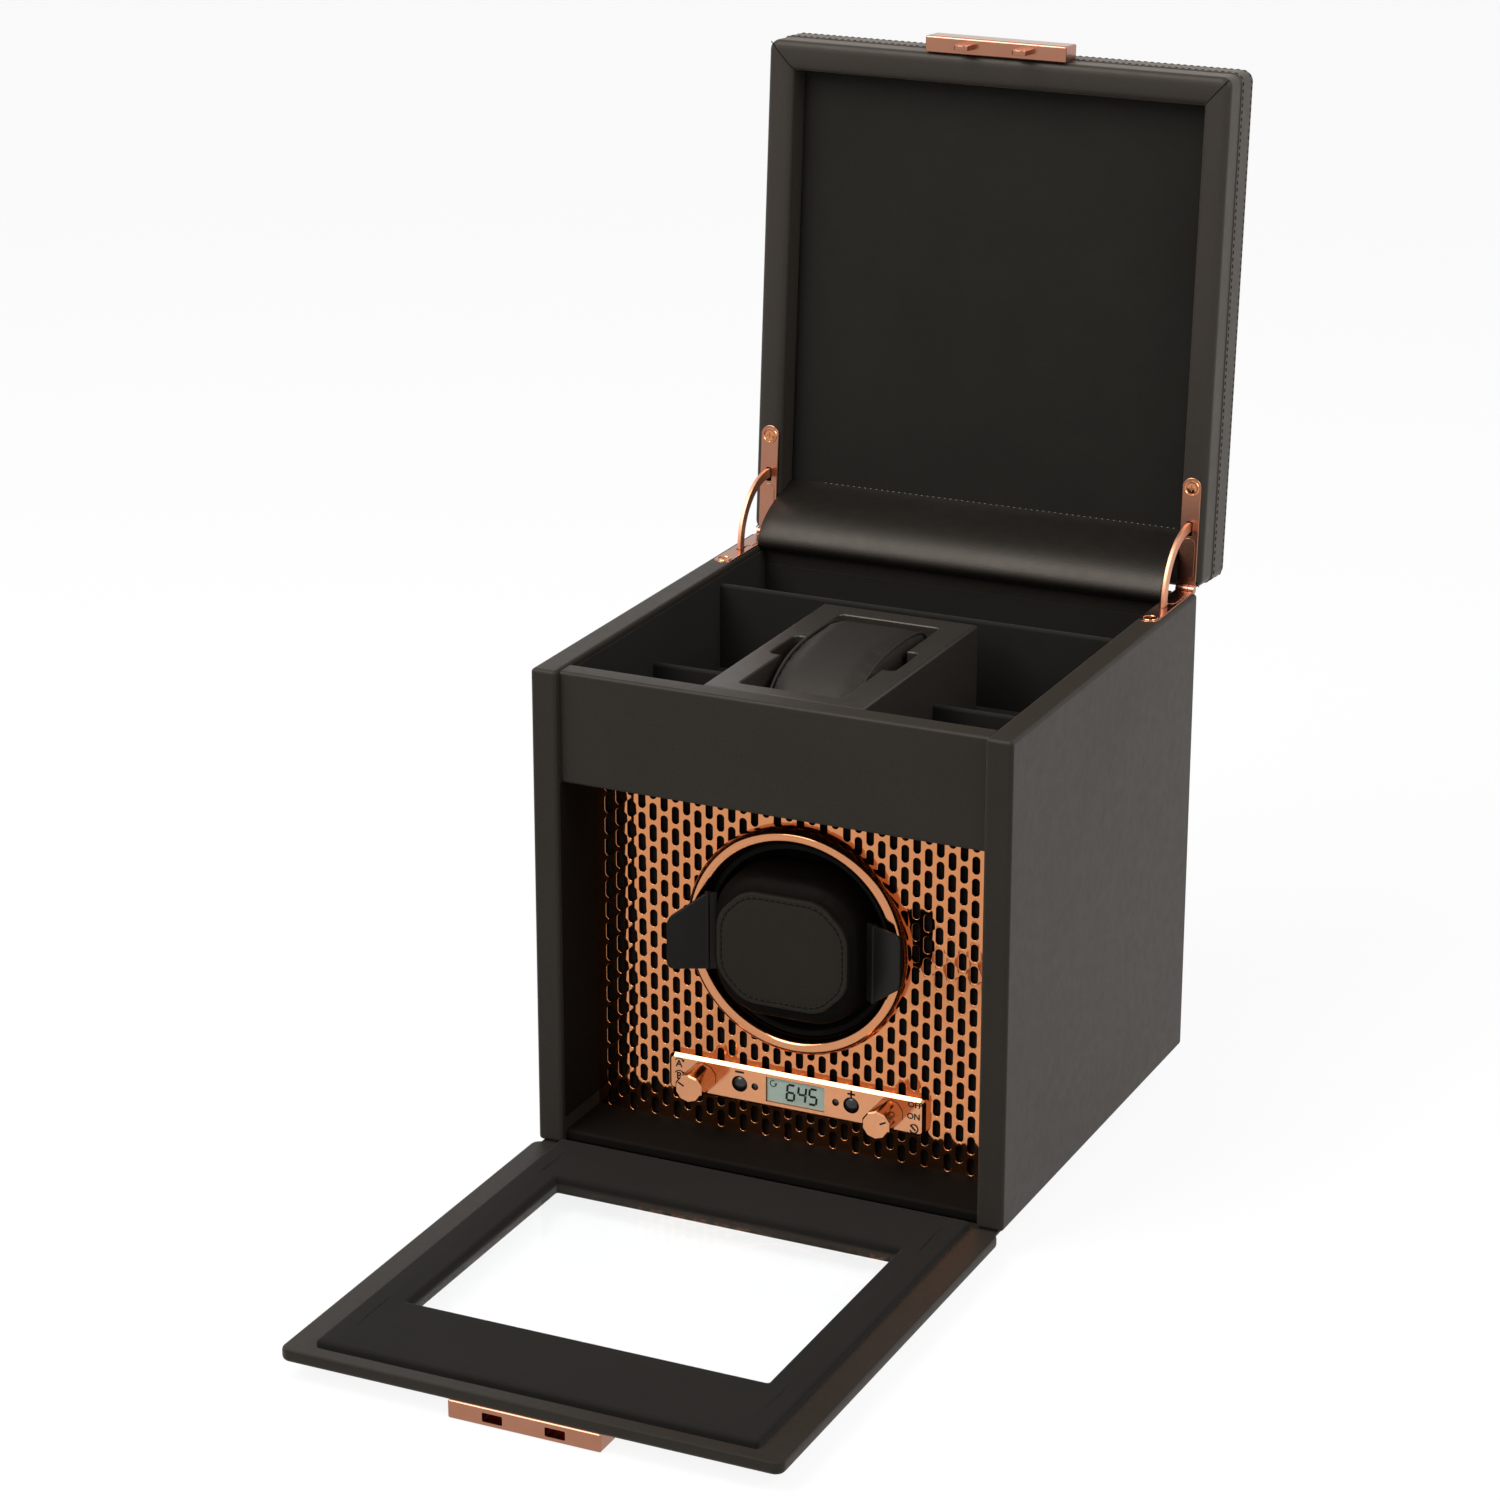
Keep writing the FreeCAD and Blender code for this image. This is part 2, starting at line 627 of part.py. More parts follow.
def make_grille():
    """A panel with rows of slots in its face, a hole for the drum and a bay behind the control strip."""
    outline = rectangle(-INNER_HALF, INNER_HALF, FLOOR_T, FASCIA_BOTTOM)
    drum_hole = Part.Wire(Part.makeCircle(DRUM_HOLE_R, V(0, GRILLE_FACE, WINDER_Z), Y_AXIS))
    bay = rectangle(-BAY_HALF, BAY_HALF, STRIP_Z - BAY_TALL / 2, STRIP_Z + BAY_TALL / 2)
    openings = [outline, drum_hole, bay]
    back = Part.makeFace(openings, "Part::FaceMakerBullseye").extrude(V(0, GRILLE_T - SLOT_DEEP, 0))
    back.translate(V(0, SLOT_DEEP, 0))
    slots = []
    for x, z in slot_centres():
        slots.append(rectangle(x - SLOT_WIDE / 2, x + SLOT_WIDE / 2, z - SLOT_TALL / 2, z + SLOT_TALL / 2))
    front = Part.makeFace(openings + slots, "Part::FaceMakerBullseye").extrude(V(0, SLOT_DEEP, 0))
    export("grille_panel", front.fuse(back).removeSplitter())


def make_ring():
    """A rounded bezel round the drum's hole."""
    half = RING_WIDE / 2
    middle = RING_R - half
    shoulder = GRILLE_FACE - RING_PROUD + half
    profile = [(middle - half, GRILLE_FACE), (middle + half, GRILLE_FACE)]
    for i in range(RING_FACETS + 1):
        a = pi * i / RING_FACETS
        profile.append((middle + half * cos(a), shoulder - half * sin(a)))
    export("drum_bezel", turned_y(profile, 0, WINDER_Z))


# Winder

def make_drum():
    """A cup whose thick floor takes the cuff's spigot, and the shaft behind it."""
    inner_r = DRUM_R - DRUM_WALL
    floor = DRUM_BACK - DRUM_FLOOR_T
    socket_end = DRUM_BACK - SOCKET_FLOOR
    bore = SPIGOT_R + RUNNING
    profile = [(0, socket_end), (bore, socket_end), (bore, floor), (inner_r, floor), (inner_r, DRUM_FRONT),
               (DRUM_R, DRUM_FRONT), (DRUM_R, DRUM_BACK), (0, DRUM_BACK)]
    export("drum_cup", turned_y(profile, 0, WINDER_Z))
    shaft_end = MOTOR_FRONT + SHAFT_IN - SHAFT_PLAY
    export("drum_shaft", rod_y(SHAFT_R, DRUM_BACK, shaft_end, 0, WINDER_Z))


def make_drive():
    """The geared motor behind the drum, on a plate and four six-sided posts."""
    plate_front = MOTOR_FRONT - PLATE_T
    half = PLATE_HALF
    plate = box(-half, half, plate_front, MOTOR_FRONT, WINDER_Z - half, WINDER_Z + half)
    export("motor_plate", plate.cut(rod_y(PLATE_HOLE_R, plate_front, MOTOR_FRONT, 0, WINDER_Z)))
    posts = []
    for x in (-POST_SPOT, POST_SPOT):
        for z in (WINDER_Z - POST_SPOT, WINDER_Z + POST_SPOT):
            angles = [pi * i / 3 for i in range(6)]
            outline = [(x + POST_R * cos(a), z + POST_R * sin(a)) for a in angles]
            posts.append(slab_y(outline, GRILLE_FACE + GRILLE_T, plate_front))
    export("motor_posts", Part.makeCompound(posts))
    bore = SHAFT_R + RUNNING
    room_end, gearbox_back = MOTOR_FRONT + SHAFT_IN, MOTOR_FRONT + GEARBOX_LONG
    motor_back = gearbox_back + MOTOR_LONG
    profile = [(0, motor_back), (0, room_end), (bore, room_end), (bore, MOTOR_FRONT),
               (GEARBOX_R, MOTOR_FRONT), (GEARBOX_R, gearbox_back), (MOTOR_R, gearbox_back),
               (MOTOR_R, motor_back)]
    export("gear_motor", turned_y(profile, 0, WINDER_Z))


# Cuff

def make_cuff():
    half_w, half_t = CUFF_WIDE / 2, CUFF_TALL / 2
    body = box(-half_w, half_w, CUFF_FRONT, CUFF_BACK, WINDER_Z - half_t, WINDER_Z + half_t)
    body = rounded(body, CUFF_CORNER_R, Y_AXIS)
    body = body.makeChamfer(CUFF_BEVEL, edge_ring(body, Y_AXIS, CUFF_FRONT))
    spigot_end = DRUM_BACK - 1.0
    body = body.fuse(rod_y(SPIGOT_R, CUFF_BACK, spigot_end, 0, WINDER_Z))
    body = body.fuse([ear_lug(-1), ear_lug(1)])
    export("cuff_body", body.removeSplitter())
    w, t = PATCH_WIDE / 2, PATCH_TALL / 2
    corner = [(-w, -t + PATCH_CUT_Z), (-w + PATCH_CUT_X, -t), (w - PATCH_CUT_X, -t), (w, -t + PATCH_CUT_Z),
              (w, t - PATCH_CUT_Z), (w - PATCH_CUT_X, t), (-w + PATCH_CUT_X, t), (-w, t - PATCH_CUT_Z)]
    patch = slab_y([(x, WINDER_Z + z) for x, z in corner], CUFF_FRONT - PATCH_T, CUFF_FRONT)
    export("cuff_patch", rounded(patch, PATCH_CORNER_R, Y_AXIS))


def ear_lug(side):
    """A bored lug for an ear's pivot; its front corner is cut off to clear the ear."""
    x, y, low = side * EAR_PIVOT_X, EAR_PIVOT_Y, WINDER_Z - LUG_TALL / 2
    root = side * (CUFF_WIDE / 2 - LUG_SUNK)
    outer = x + side * LUG_HALF
    points = [V(root, y - LUG_HALF, low), V(x, y - LUG_HALF, low), V(outer, y, low),
              V(outer, y + LUG_HALF, low), V(root, y + LUG_HALF, low)]
    lug = Part.Face(Part.makePolygon(points + points[:1])).extrude(V(0, 0, LUG_TALL))
    return lug.cut(rod_z(PIVOT_R + RUNNING, low, low + LUG_TALL, x, y))


def make_ears():
    """Two pinch ears, alike when the cuff is turned half round."""
    run = V(EAR_TIP_X - EAR_PIVOT_X, EAR_TIP_Y - EAR_PIVOT_Y, 0)
    reach = run.Length
    outline = [(0, EAR_LOW), (reach, EAR_LOW), (reach, EAR_TIP_HIGH), (EAR_NECK, EAR_ROOT_HIGH),
               (0, EAR_ROOT_HIGH)]
    ear = slab_y(outline, -EAR_T / 2, EAR_T / 2)
    ear = rounded(ear, EAR_CORNER_R, Y_AXIS, lambda p: p.x > reach - 1)
    gap = LUG_TALL / 2 + LUG_GAP
    ear = ear.cut(box(0, EAR_NECK, -EAR_T, EAR_T, -gap, gap))
    ear = ear.fuse(rod_z(PIVOT_R, EAR_LOW, EAR_ROOT_HIGH, 0, 0)).removeSplitter()
    left = ear.mirror(ORIGIN, X_AXIS)
    left.rotate(ORIGIN, Z_AXIS, -degrees(asin(run.y / reach)))
    left.translate(V(-EAR_PIVOT_X, EAR_PIVOT_Y, WINDER_Z))
    right = left.copy()
    right.rotate(V(0, 0, WINDER_Z), Y_AXIS, 180)
    export("cuff_ear_left", left)
    export("cuff_ear_right", right)


# Control strip

def make_strip():
    strip = box(-STRIP_HALF, STRIP_HALF, STRIP_FACE, GRILLE_FACE, STRIP_BOTTOM, STRIP_TOP)
    strip = rounded(strip, STRIP_CORNER_R, Y_AXIS)
    strip = strip.makeChamfer(STRIP_BEVEL, edge_ring(strip, Y_AXIS, STRIP_FACE))
    half_w, half_t = LCD_WIDE / 2, LCD_TALL / 2
    strip = strip.cut(box(-half_w, half_w, STRIP_FACE, GRILLE_FACE, STRIP_Z - half_t, STRIP_Z + half_t))
    holes = ((BUTTON_X, BUTTON_R + BUTTON_ROOM), (KNOB_X, KNOB_SHAFT_R + RUNNING))
    for x, r in holes:
        for side in (-1, 1):
            strip = strip.cut(rod_y(r, STRIP_FACE, GRILLE_FACE, side * x, STRIP_Z))
    export("control_strip", strip)


def make_display():
    half_w, half_t = LCD_WIDE / 2, LCD_TALL / 2
    glass = box(-half_w, half_w, STRIP_FACE + LCD_SUNK, GRILLE_FACE, STRIP_Z - half_t, STRIP_Z + half_t)
    deep = BAY_TALL / 2 - BUTTON_ROOM
    back = box(-half_w, half_w, GRILLE_FACE, BOARD_FRONT, STRIP_Z - deep, STRIP_Z + deep)
    export("lcd_display", glass.fuse(back).removeSplitter())


def make_control_board():
    board = box(-STRIP_HALF, STRIP_HALF, BOARD_FRONT, BOARD_FRONT + BOARD_T, STRIP_BOTTOM, STRIP_TOP)
    export("control_board", board)
    tact_front = GRILLE_FACE + BUTTON_FLANGE_T + BUTTON_TRAVEL + 2 * BUTTON_PLAY
    for side, x in (("left", -BUTTON_X), ("right", BUTTON_X)):
        body = box(x - TACT_HALF, x + TACT_HALF, tact_front, BOARD_FRONT, STRIP_Z - TACT_HALF,
                   STRIP_Z + TACT_HALF)
        export("tact_switch_" + side, body)
    for side, x in (("left", -KNOB_X), ("right", KNOB_X)):
        front = BOARD_FRONT - SWITCH_T
        body = box(x - SWITCH_HALF, x + SWITCH_HALF, front, BOARD_FRONT, STRIP_Z - SWITCH_HALF,
                   STRIP_Z + SWITCH_HALF)
        export("rotary_switch_" + side, body)


def make_buttons():
    for name, x in (("minus_button", -BUTTON_X), ("plus_button", BUTTON_X)):
        flange_front = GRILLE_FACE + BUTTON_PLAY
        cap = rod_y(BUTTON_R, STRIP_FACE - BUTTON_PROUD, flange_front, x, STRIP_Z)
        cap = cap.makeChamfer(BUTTON_BEVEL, edge_ring(cap, Y_AXIS, STRIP_FACE - BUTTON_PROUD))
        cap = cap.fuse(rod_y(BUTTON_FLANGE_R, flange_front, flange_front + BUTTON_FLANGE_T, x, STRIP_Z))
        export(name, cap.removeSplitter())


def make_knobs():
    for name, x in (("mode_knob", -KNOB_X), ("power_knob", KNOB_X)):
        base = STRIP_FACE - KNOB_PLAY
        points = []
        for i in range(2 * KNOB_FLUTES):
            a = pi * i / KNOB_FLUTES
            r = KNOB_R - KNOB_FLUTE_DEEP * (i % 2)
            points.append((x + r * cos(a), STRIP_Z + r * sin(a)))
        knob = slab_y(points, base - KNOB_LONG, base)
        knob = knob.makeChamfer(KNOB_BEVEL, edge_ring(knob, Y_AXIS, base - KNOB_LONG))
        knob = knob.fuse(rod_y(KNOB_SHAFT_R, base, BOARD_FRONT - SWITCH_T - KNOB_PLAY, x, STRIP_Z))
        export(name, knob.removeSplitter())


os.makedirs("parts", exist_ok=True)
make_walls()
make_base()
make_power_inlet()
make_tray()
make_watch_holder()
make_pillow()
make_lid()
make_lid_hinge()
make_gusset()
make_door()
make_door_strap()
make_clasp()
make_grille()
make_ring()
make_drum()
make_drive()
make_cuff()
make_ears()
make_strip()
make_display()
make_control_board()
make_buttons()
make_knobs()
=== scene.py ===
# %% [markdown]
# # A watch winder box
# The object is a leather-covered box, about 200 mm a side. Its lid opens on a storage tray with a watch pillow,
# and its front door drops down to show a polished copper grille with a turning cuff and a strip of controls.
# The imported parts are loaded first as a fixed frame, and everything made here is fitted to them.

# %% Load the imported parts
import math

import bmesh
import bpy
from mathutils import Matrix, Vector


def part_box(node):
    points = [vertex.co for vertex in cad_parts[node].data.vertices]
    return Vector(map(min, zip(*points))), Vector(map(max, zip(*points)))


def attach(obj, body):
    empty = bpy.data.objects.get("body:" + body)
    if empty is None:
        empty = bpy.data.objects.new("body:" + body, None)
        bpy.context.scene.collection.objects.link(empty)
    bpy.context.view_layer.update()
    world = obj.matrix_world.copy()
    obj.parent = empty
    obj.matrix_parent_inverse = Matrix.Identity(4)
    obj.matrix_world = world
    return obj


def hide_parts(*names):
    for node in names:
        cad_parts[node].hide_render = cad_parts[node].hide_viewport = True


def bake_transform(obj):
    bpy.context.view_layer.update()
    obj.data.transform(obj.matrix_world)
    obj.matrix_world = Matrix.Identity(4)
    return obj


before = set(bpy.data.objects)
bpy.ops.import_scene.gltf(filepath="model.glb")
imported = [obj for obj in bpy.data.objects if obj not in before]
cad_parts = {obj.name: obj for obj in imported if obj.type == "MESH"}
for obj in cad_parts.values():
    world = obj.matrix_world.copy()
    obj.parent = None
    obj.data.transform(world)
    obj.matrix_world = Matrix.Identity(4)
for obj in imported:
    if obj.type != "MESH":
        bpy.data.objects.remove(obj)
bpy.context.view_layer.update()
print("parts in the frame:", len(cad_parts))

# %% [markdown]
# ## Working in millimetres
# The maker's drawing has its zero height at the underside of the case, and the lid and the door are drawn shut.
# Pieces are modelled in those millimetres, because the numbers stay short. One matrix then carries a finished
# mesh into the frame, in metres and on top of the plinth, and a swing about a hinge line opens the lid or the door.

# %% From the drawing to the frame
PLINTH = 11.0
TO_FRAME = Matrix.Scale(0.001, 4) @ Matrix.Translation((0, 0, PLINTH))
LID_AXIS = (102.0, 199.3)
DOOR_AXIS = (-101.75, -0.25)


def swing(degrees, axis):
    """A turn about a line along x, given by its y and z."""
    pivot = Matrix.Translation((0, *axis))
    return pivot @ Matrix.Rotation(math.radians(degrees), 4, "X") @ pivot.inverted()


LID_ANGLE = -94
OPENED = {"lid": swing(LID_ANGLE, LID_AXIS), "door": swing(90, DOOR_AXIS)}
for side in ("right", "left"):
    OPENED[f"{side}_stay"] = swing(LID_ANGLE / 2, LID_AXIS)


def extents(node):
    """The ranges in x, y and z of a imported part, in the drawing's millimetres."""
    return [(1000 * a - up, 1000 * b - up) for a, b, up in zip(*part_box(node), (0, 0, PLINTH))]


print("fascia reaches from", extents("front_fascia")[2])

# %% [markdown]
# ## Writing shaders as sums
# A material is a tree of nodes. Wiring each node by hand hides the idea, so one small class wraps a node's output
# and turns Python's own signs into Math nodes. A second class adds any other node, with its settings first.

# %% Sockets that can be added and multiplied
def wire(slot, value):
    """Link a value to an input, or set a plain number or colour on it."""
    if isinstance(value, Value):
        slot.id_data.links.new(value.socket, slot)
    else:
        slot.default_value = value


class Value:
    """One output of a shader node."""

    def __init__(self, socket):
        self.socket = socket

    def joined(self, operation, other):
        node = self.socket.id_data.nodes.new("ShaderNodeMath")
        node.operation = operation
        wire(node.inputs[0], self)
        wire(node.inputs[1], other)
        return Value(node.outputs[0])

    def __add__(self, other):
        return self.joined("ADD", other)

    def __mul__(self, other):
        return self.joined("MULTIPLY", other)

    def __or__(self, other):
        return self.joined("MAXIMUM", other)


class Nodes:
    """A node tree, with one way to add a node to it."""

    def __init__(self, tree):
        self.tree = tree

    def node(self, kind, settings=None, sockets=None):
        made = self.tree.nodes.new(kind)
        for name, value in (settings or {}).items():
            setattr(made, name, value)
        for name, value in (sockets or {}).items():
            live = [slot for slot in made.inputs if slot.name == name and slot.enabled]
            wire(live[0], value)
        return {out.name: Value(out) for out in made.outputs if out.enabled}


class Finish(Nodes):
    """A material with one main shader."""

    def __init__(self, name):
        self.material = bpy.data.materials.new(name)
        self.material.use_nodes = True
        super().__init__(self.material.node_tree)
        self.shader = self.tree.nodes["Principled BSDF"]
        self.place = self.node("ShaderNodeTexCoord")["Object"]

    def set(self, **sockets):
        for name, value in sockets.items():
            wire(self.shader.inputs[name.replace("_", " ")], value)

    def noise(self, scale, detail=2.0, roughness=0.5):
        sockets = {"Vector": self.place, "Scale": scale, "Detail": detail, "Roughness": roughness}
        return self.node("ShaderNodeTexNoise", None, sockets)["Fac"]

    def cells(self, scale, feature="F1"):
        sockets = {"Vector": self.place, "Scale": scale}
        return self.node("ShaderNodeTexVoronoi", {"feature": feature}, sockets)["Distance"]

    def mix(self, share, first, second):
        sockets = {"Factor": share, "A": (*first, 1), "B": (*second, 1)}
        return self.node("ShaderNodeMix", {"data_type": "RGBA"}, sockets)["Result"]

    def relief(self, height, strength, distance):
        sockets = {"Height": height, "Strength": strength, "Distance": distance}
        self.set(Normal=self.node("ShaderNodeBump", None, sockets)["Normal"])


print("shader signs ready: +, * and |")

# %% [markdown]
# ## The camera
# The photograph was taken from the right and a little above. The angle, distance and focal length were worked out
# from corners of the box whose places are known, so the frame needs no shift.

# %% Camera at the photograph's angle
def show(name, data):
    """A new object in the scene, made from its data."""
    made = bpy.data.objects.new(name, data)
    bpy.context.scene.collection.objects.link(made)
    return made


AZIMUTH, ELEVATION = 25.274, 19.658
lens = bpy.data.cameras.new("studio_camera")
lens.sensor_width = 36.0
lens.lens = 102.82
camera = show("studio_camera", lens)
camera.location = (0.6435, -1.4765, 0.7344)
camera.rotation_euler = (math.radians(90 - ELEVATION), 0, math.radians(AZIMUTH))
bpy.context.scene.camera = camera
bpy.context.scene.view_settings.view_transform = "Standard"
print("camera stands", round(camera.location.length, 3), "m from the box")

# %% [markdown]
# ## A white studio
# The box stands on white. Polished copper has no colour of its own until it reflects something, so the room is
# white to the camera, to reflections and through the window, while the light that falls on the leather stays
# plain. The floor mixes a little real shading into its white, which keeps the shadow under the box.

# %% Room and floor
def seen(nodes):
    """One where a ray comes from the camera, a reflection or a clear pane."""
    path = nodes.node("ShaderNodeLightPath")
    return path["Is Camera Ray"] | path["Is Glossy Ray"] | path["Is Transmission Ray"]


AMBIENT = 0.45
WHITENESS = 0.9
room = bpy.data.worlds.new("studio")
room.use_nodes = True
bpy.context.scene.world = room
backdrop = room.node_tree.nodes["Background"]
backdrop.inputs["Color"].default_value = (1, 1, 1, 1)
wire(backdrop.inputs["Strength"], seen(Nodes(room.node_tree)) * (1 - AMBIENT) + AMBIENT)

floor_white = Finish("studio_floor")
floor_white.set(Base_Color=(0.85, 0.85, 0.85, 1), Roughness=0.9)
glow = floor_white.node("ShaderNodeEmission", None, {"Strength": 1.0})["Emission"]
blend = floor_white.node("ShaderNodeMixShader", None, {"Fac": seen(floor_white) * WHITENESS})["Shader"]
mixer = blend.socket.node
wire(mixer.inputs[1], Value(floor_white.shader.outputs["BSDF"]))
wire(mixer.inputs[2], glow)
wire(floor_white.tree.nodes["Material Output"].inputs["Surface"], blend)


def as_mesh(name, bm):
    """A mesh with what a bmesh holds."""
    mesh = bpy.data.meshes.new(name)
    bm.to_mesh(mesh)
    return mesh


bm = bmesh.new()
bmesh.ops.create_grid(bm, x_segments=1, y_segments=1, size=6)
floor = show("studio_floor", as_mesh("studio_floor", bm))
bm.free()
floor.data.materials.append(floor_white.material)
print("floor has", len(floor.data.polygons), "face")

# %% Lamps
AIM = Vector((0, 0, 0.12))


def softbox(name, place, size, power):
    """A square lamp that looks at the middle of the box."""
    lamp = bpy.data.lights.new(name, "AREA")
    lamp.size = size
    lamp.energy = power
    holder = show(name, lamp)
    holder.location = place
    holder.rotation_euler = (AIM - Vector(place)).to_track_quat("-Z", "Y").to_euler()


softbox("top_softbox", (-0.5, -0.65, 1.3), 1.0, 22)
softbox("side_softbox", (1.4, -0.2, 1.3), 1.0, 18)
softbox("front_softbox", (-0.6, -1.4, 1.15), 0.5, 5)

# %% [markdown]
# ## Leather
# The outside is a smooth leatherette with a fine pebble. A photograph could give its colour, but not its grain at
# any distance, so the pebble is a cell pattern about 0.8 mm across, with soft creases and worn, slightly paler
# patches. The same recipe with other numbers makes the finer leather of the cuff.

# %% Leather finishes
PEBBLE, FINE = 1300, 1700


def leather_finish(name, dark, pale, pebble, roughness, gloss, nap=0.0):
    finish = Finish(name)
    grain = finish.cells(pebble)
    creases = finish.noise(pebble / 6, 3)
    patches = finish.noise(14, 3)
    finish.set(Base_Color=finish.mix(patches * 0.6 + grain * 0.4, dark, pale))
    finish.set(Roughness=creases * 0.12 + patches * 0.1 + roughness, Specular_IOR_Level=gloss,
               Specular_Tint=(1, 0.87, 0.76, 1), Sheen_Weight=nap, Sheen_Roughness=0.4,
               Sheen_Tint=(1, 0.76, 0.58, 1))
    finish.relief(grain * 0.6 + creases * 0.5, 0.18, 0.0003)
    return finish.material


leather = leather_finish("black_leather", (0.009, 0.0075, 0.006), (0.018, 0.0155, 0.013), PEBBLE, 0.34, 0.14, 0.07)
# A darker, duller copy of the leather: painted shade, for the floor and the inner walls of the bay behind the door.
bay_shade_leather = leather_finish("bay_shade_leather", (0.003, 0.0024, 0.0019), (0.007, 0.0058, 0.0046), PEBBLE, 0.6, 0.04)
# A paler, glossier copy of the leather for the lid: painted light, for the lid's brighter lit sides.
lid_lit_leather = leather_finish("lid_lit_leather", (0.012, 0.01, 0.008), (0.022, 0.019, 0.016), PEBBLE, 0.36, 0.22, 0.12)
# A darker, glossier copy for the flap over the hinge line: painted shade of the cove under the lid.
flap_shade_leather = leather_finish("flap_shade_leather", (0.004, 0.0033, 0.0026), (0.008, 0.007, 0.0055), PEBBLE, 0.3, 0.28)
# A paler, glossier copy for the watch holder: painted light on its top.
holder_lit_leather = leather_finish("holder_lit_leather", (0.012, 0.01, 0.008), (0.022, 0.0185, 0.0155), PEBBLE, 0.3, 0.5)
patch_leather = leather_finish("patch_leather", (0.008, 0.0065, 0.0048), (0.015, 0.0125, 0.0098), FINE, 0.42, 0.1)
cushion_leather = leather_finish("cushion_leather", (0.008, 0.007, 0.006), (0.016, 0.014, 0.012), FINE, 0.46, 0.2)
cuff_leather = leather_finish("cuff_leather", (0.002, 0.0016, 0.0012), (0.004, 0.0034, 0.0027), FINE, 0.45, 0.04)
print("leathers:", [material.name for material in bpy.data.materials if "leather" in material.name])

# %% [markdown]
# ## Suede and felt
# The tray, the lid's lining and the door's inner frame are suede. Its nap scatters light at grazing angles, which
# is what the shader's sheen does, and brushed patches lie a little lighter or darker than the rest.

# %% Suede finishes
def nap_finish(name, dark, pale, fibre, sheen):
    finish = Finish(name)
    fibres = finish.noise(fibre, 4, 0.7)
    brushed = finish.noise(30, 4, 0.6)
    finish.set(Base_Color=finish.mix(fibres * 0.5 + brushed * 0.5, dark, pale))
    finish.set(Roughness=fibres * 0.2 + 0.75, Specular_IOR_Level=0.1, Sheen_Weight=sheen, Sheen_Roughness=0.45)
    finish.relief(fibres, 0.35, 0.0003)
    return finish.material


suede = nap_finish("black_suede", (0.0055, 0.005, 0.0038), (0.0135, 0.0125, 0.01), 2600, 0.045)
pad_suede = nap_finish("pad_suede", (0.0042, 0.0034, 0.0026), (0.0105, 0.0088, 0.007), 2600, 0.03)
felt = nap_finish("base_felt", (0.01, 0.01, 0.01), (0.03, 0.03, 0.03), 1500, 0.3)
print("napped cloths:", suede.name, pad_suede.name, felt.name)

# %% [markdown]
# ## Copper and plastic
# The grille is plated and polished to a mirror. The ring, the strip, the knobs, the hinges and the clasp are a
# little duller, and the stays duller still. A perfect mirror looks drawn, so faint wisps dull each plate here and
# there and it is very slightly wavy. The plastics, ink and thread share a plainer recipe of clouds and specks.

# %% Copper finishes
def copper_finish(name, deep, pale, roughness):
    finish = Finish(name)
    wisps = finish.noise(60, 4, 0.6)
    finish.set(Base_Color=finish.mix(wisps * 0.5, deep, pale))
    finish.set(Metallic=1.0, Roughness=wisps * 0.06 + roughness)
    finish.relief(finish.noise(18, 1), 0.02, 0.001)
    return finish.material


copper = copper_finish("polished_copper", (0.57, 0.222, 0.087), (0.63, 0.282, 0.138), 0.03)
ring_copper = copper_finish("ring_copper", (0.57, 0.235, 0.105), (0.63, 0.3, 0.16), 0.1)
satin_copper = copper_finish("satin_copper", (0.6, 0.265, 0.125), (0.68, 0.34, 0.2), 0.1)
# A darker copy of the copper for the hinge leaves and the clasp bars: painted shade, for the darker room that they
# reflect.
fitting_copper_painted_dark = copper_finish("fitting_copper_painted_dark", (0.33, 0.14, 0.085), (0.47, 0.24, 0.165), 0.18)
stay_copper = copper_finish("stay_copper", (0.66, 0.3, 0.17), (0.75, 0.4, 0.27), 0.42)
print("coppers:", [material.name for material in bpy.data.materials if "copper" in material.name])

# %% Plastics and threads
def plastic_finish(name, dark, pale, roughness, texture, gloss=0.5):
    finish = Finish(name)
    specks = finish.noise(texture, 3)
    cloud = finish.noise(40, 3)
    finish.set(Base_Color=finish.mix(cloud * 0.7 + specks * 0.3, dark, pale))
    finish.set(Roughness=cloud * 0.08 + specks * 0.06 + roughness, Specular_IOR_Level=gloss)
    finish.relief(specks, 0.06, 0.0002)
    return finish.material


gloss_black = plastic_finish("gloss_black", (0.006, 0.006, 0.006), (0.012, 0.012, 0.012), 0.16, 900)
satin_black = plastic_finish("satin_black", (0.004, 0.0034, 0.0028), (0.008, 0.0068, 0.0056), 0.28, 1500, 0.12)
inner_plastic = plastic_finish("inner_plastic", (0.03, 0.03, 0.03), (0.06, 0.06, 0.06), 0.5, 1200)
slot_black = plastic_finish("slot_backing", (0.003, 0.003, 0.0025), (0.006, 0.0055, 0.005), 0.8, 800, 0.1)
board_black = plastic_finish("covered_board", (0.012, 0.011, 0.010), (0.022, 0.02, 0.018), 0.6, 700)
ink = plastic_finish("printed_ink", (0.003, 0.003, 0.002), (0.006, 0.006, 0.005), 0.6, 2000, 0.2)
thread_black = plastic_finish("black_thread", (0.002, 0.002, 0.002), (0.005, 0.005, 0.004), 0.8, 3000, 0.1)
thread_dark = plastic_finish("dark_thread", (0.022, 0.02, 0.017), (0.045, 0.04, 0.035), 0.6, 3000, 0.2)
thread_grey = plastic_finish("grey_thread", (0.10, 0.095, 0.085), (0.2, 0.19, 0.17), 0.5, 3000)
print("threads:", thread_black.name, thread_dark.name, thread_grey.name)

# %% [markdown]
# ## Steel, display and window
# The motor's case is brushed steel, with streaks along its length. The display is a grey-green panel behind glass,
# with a fine dot grid, and the door's window is a clear sheet with only a trace of haze.

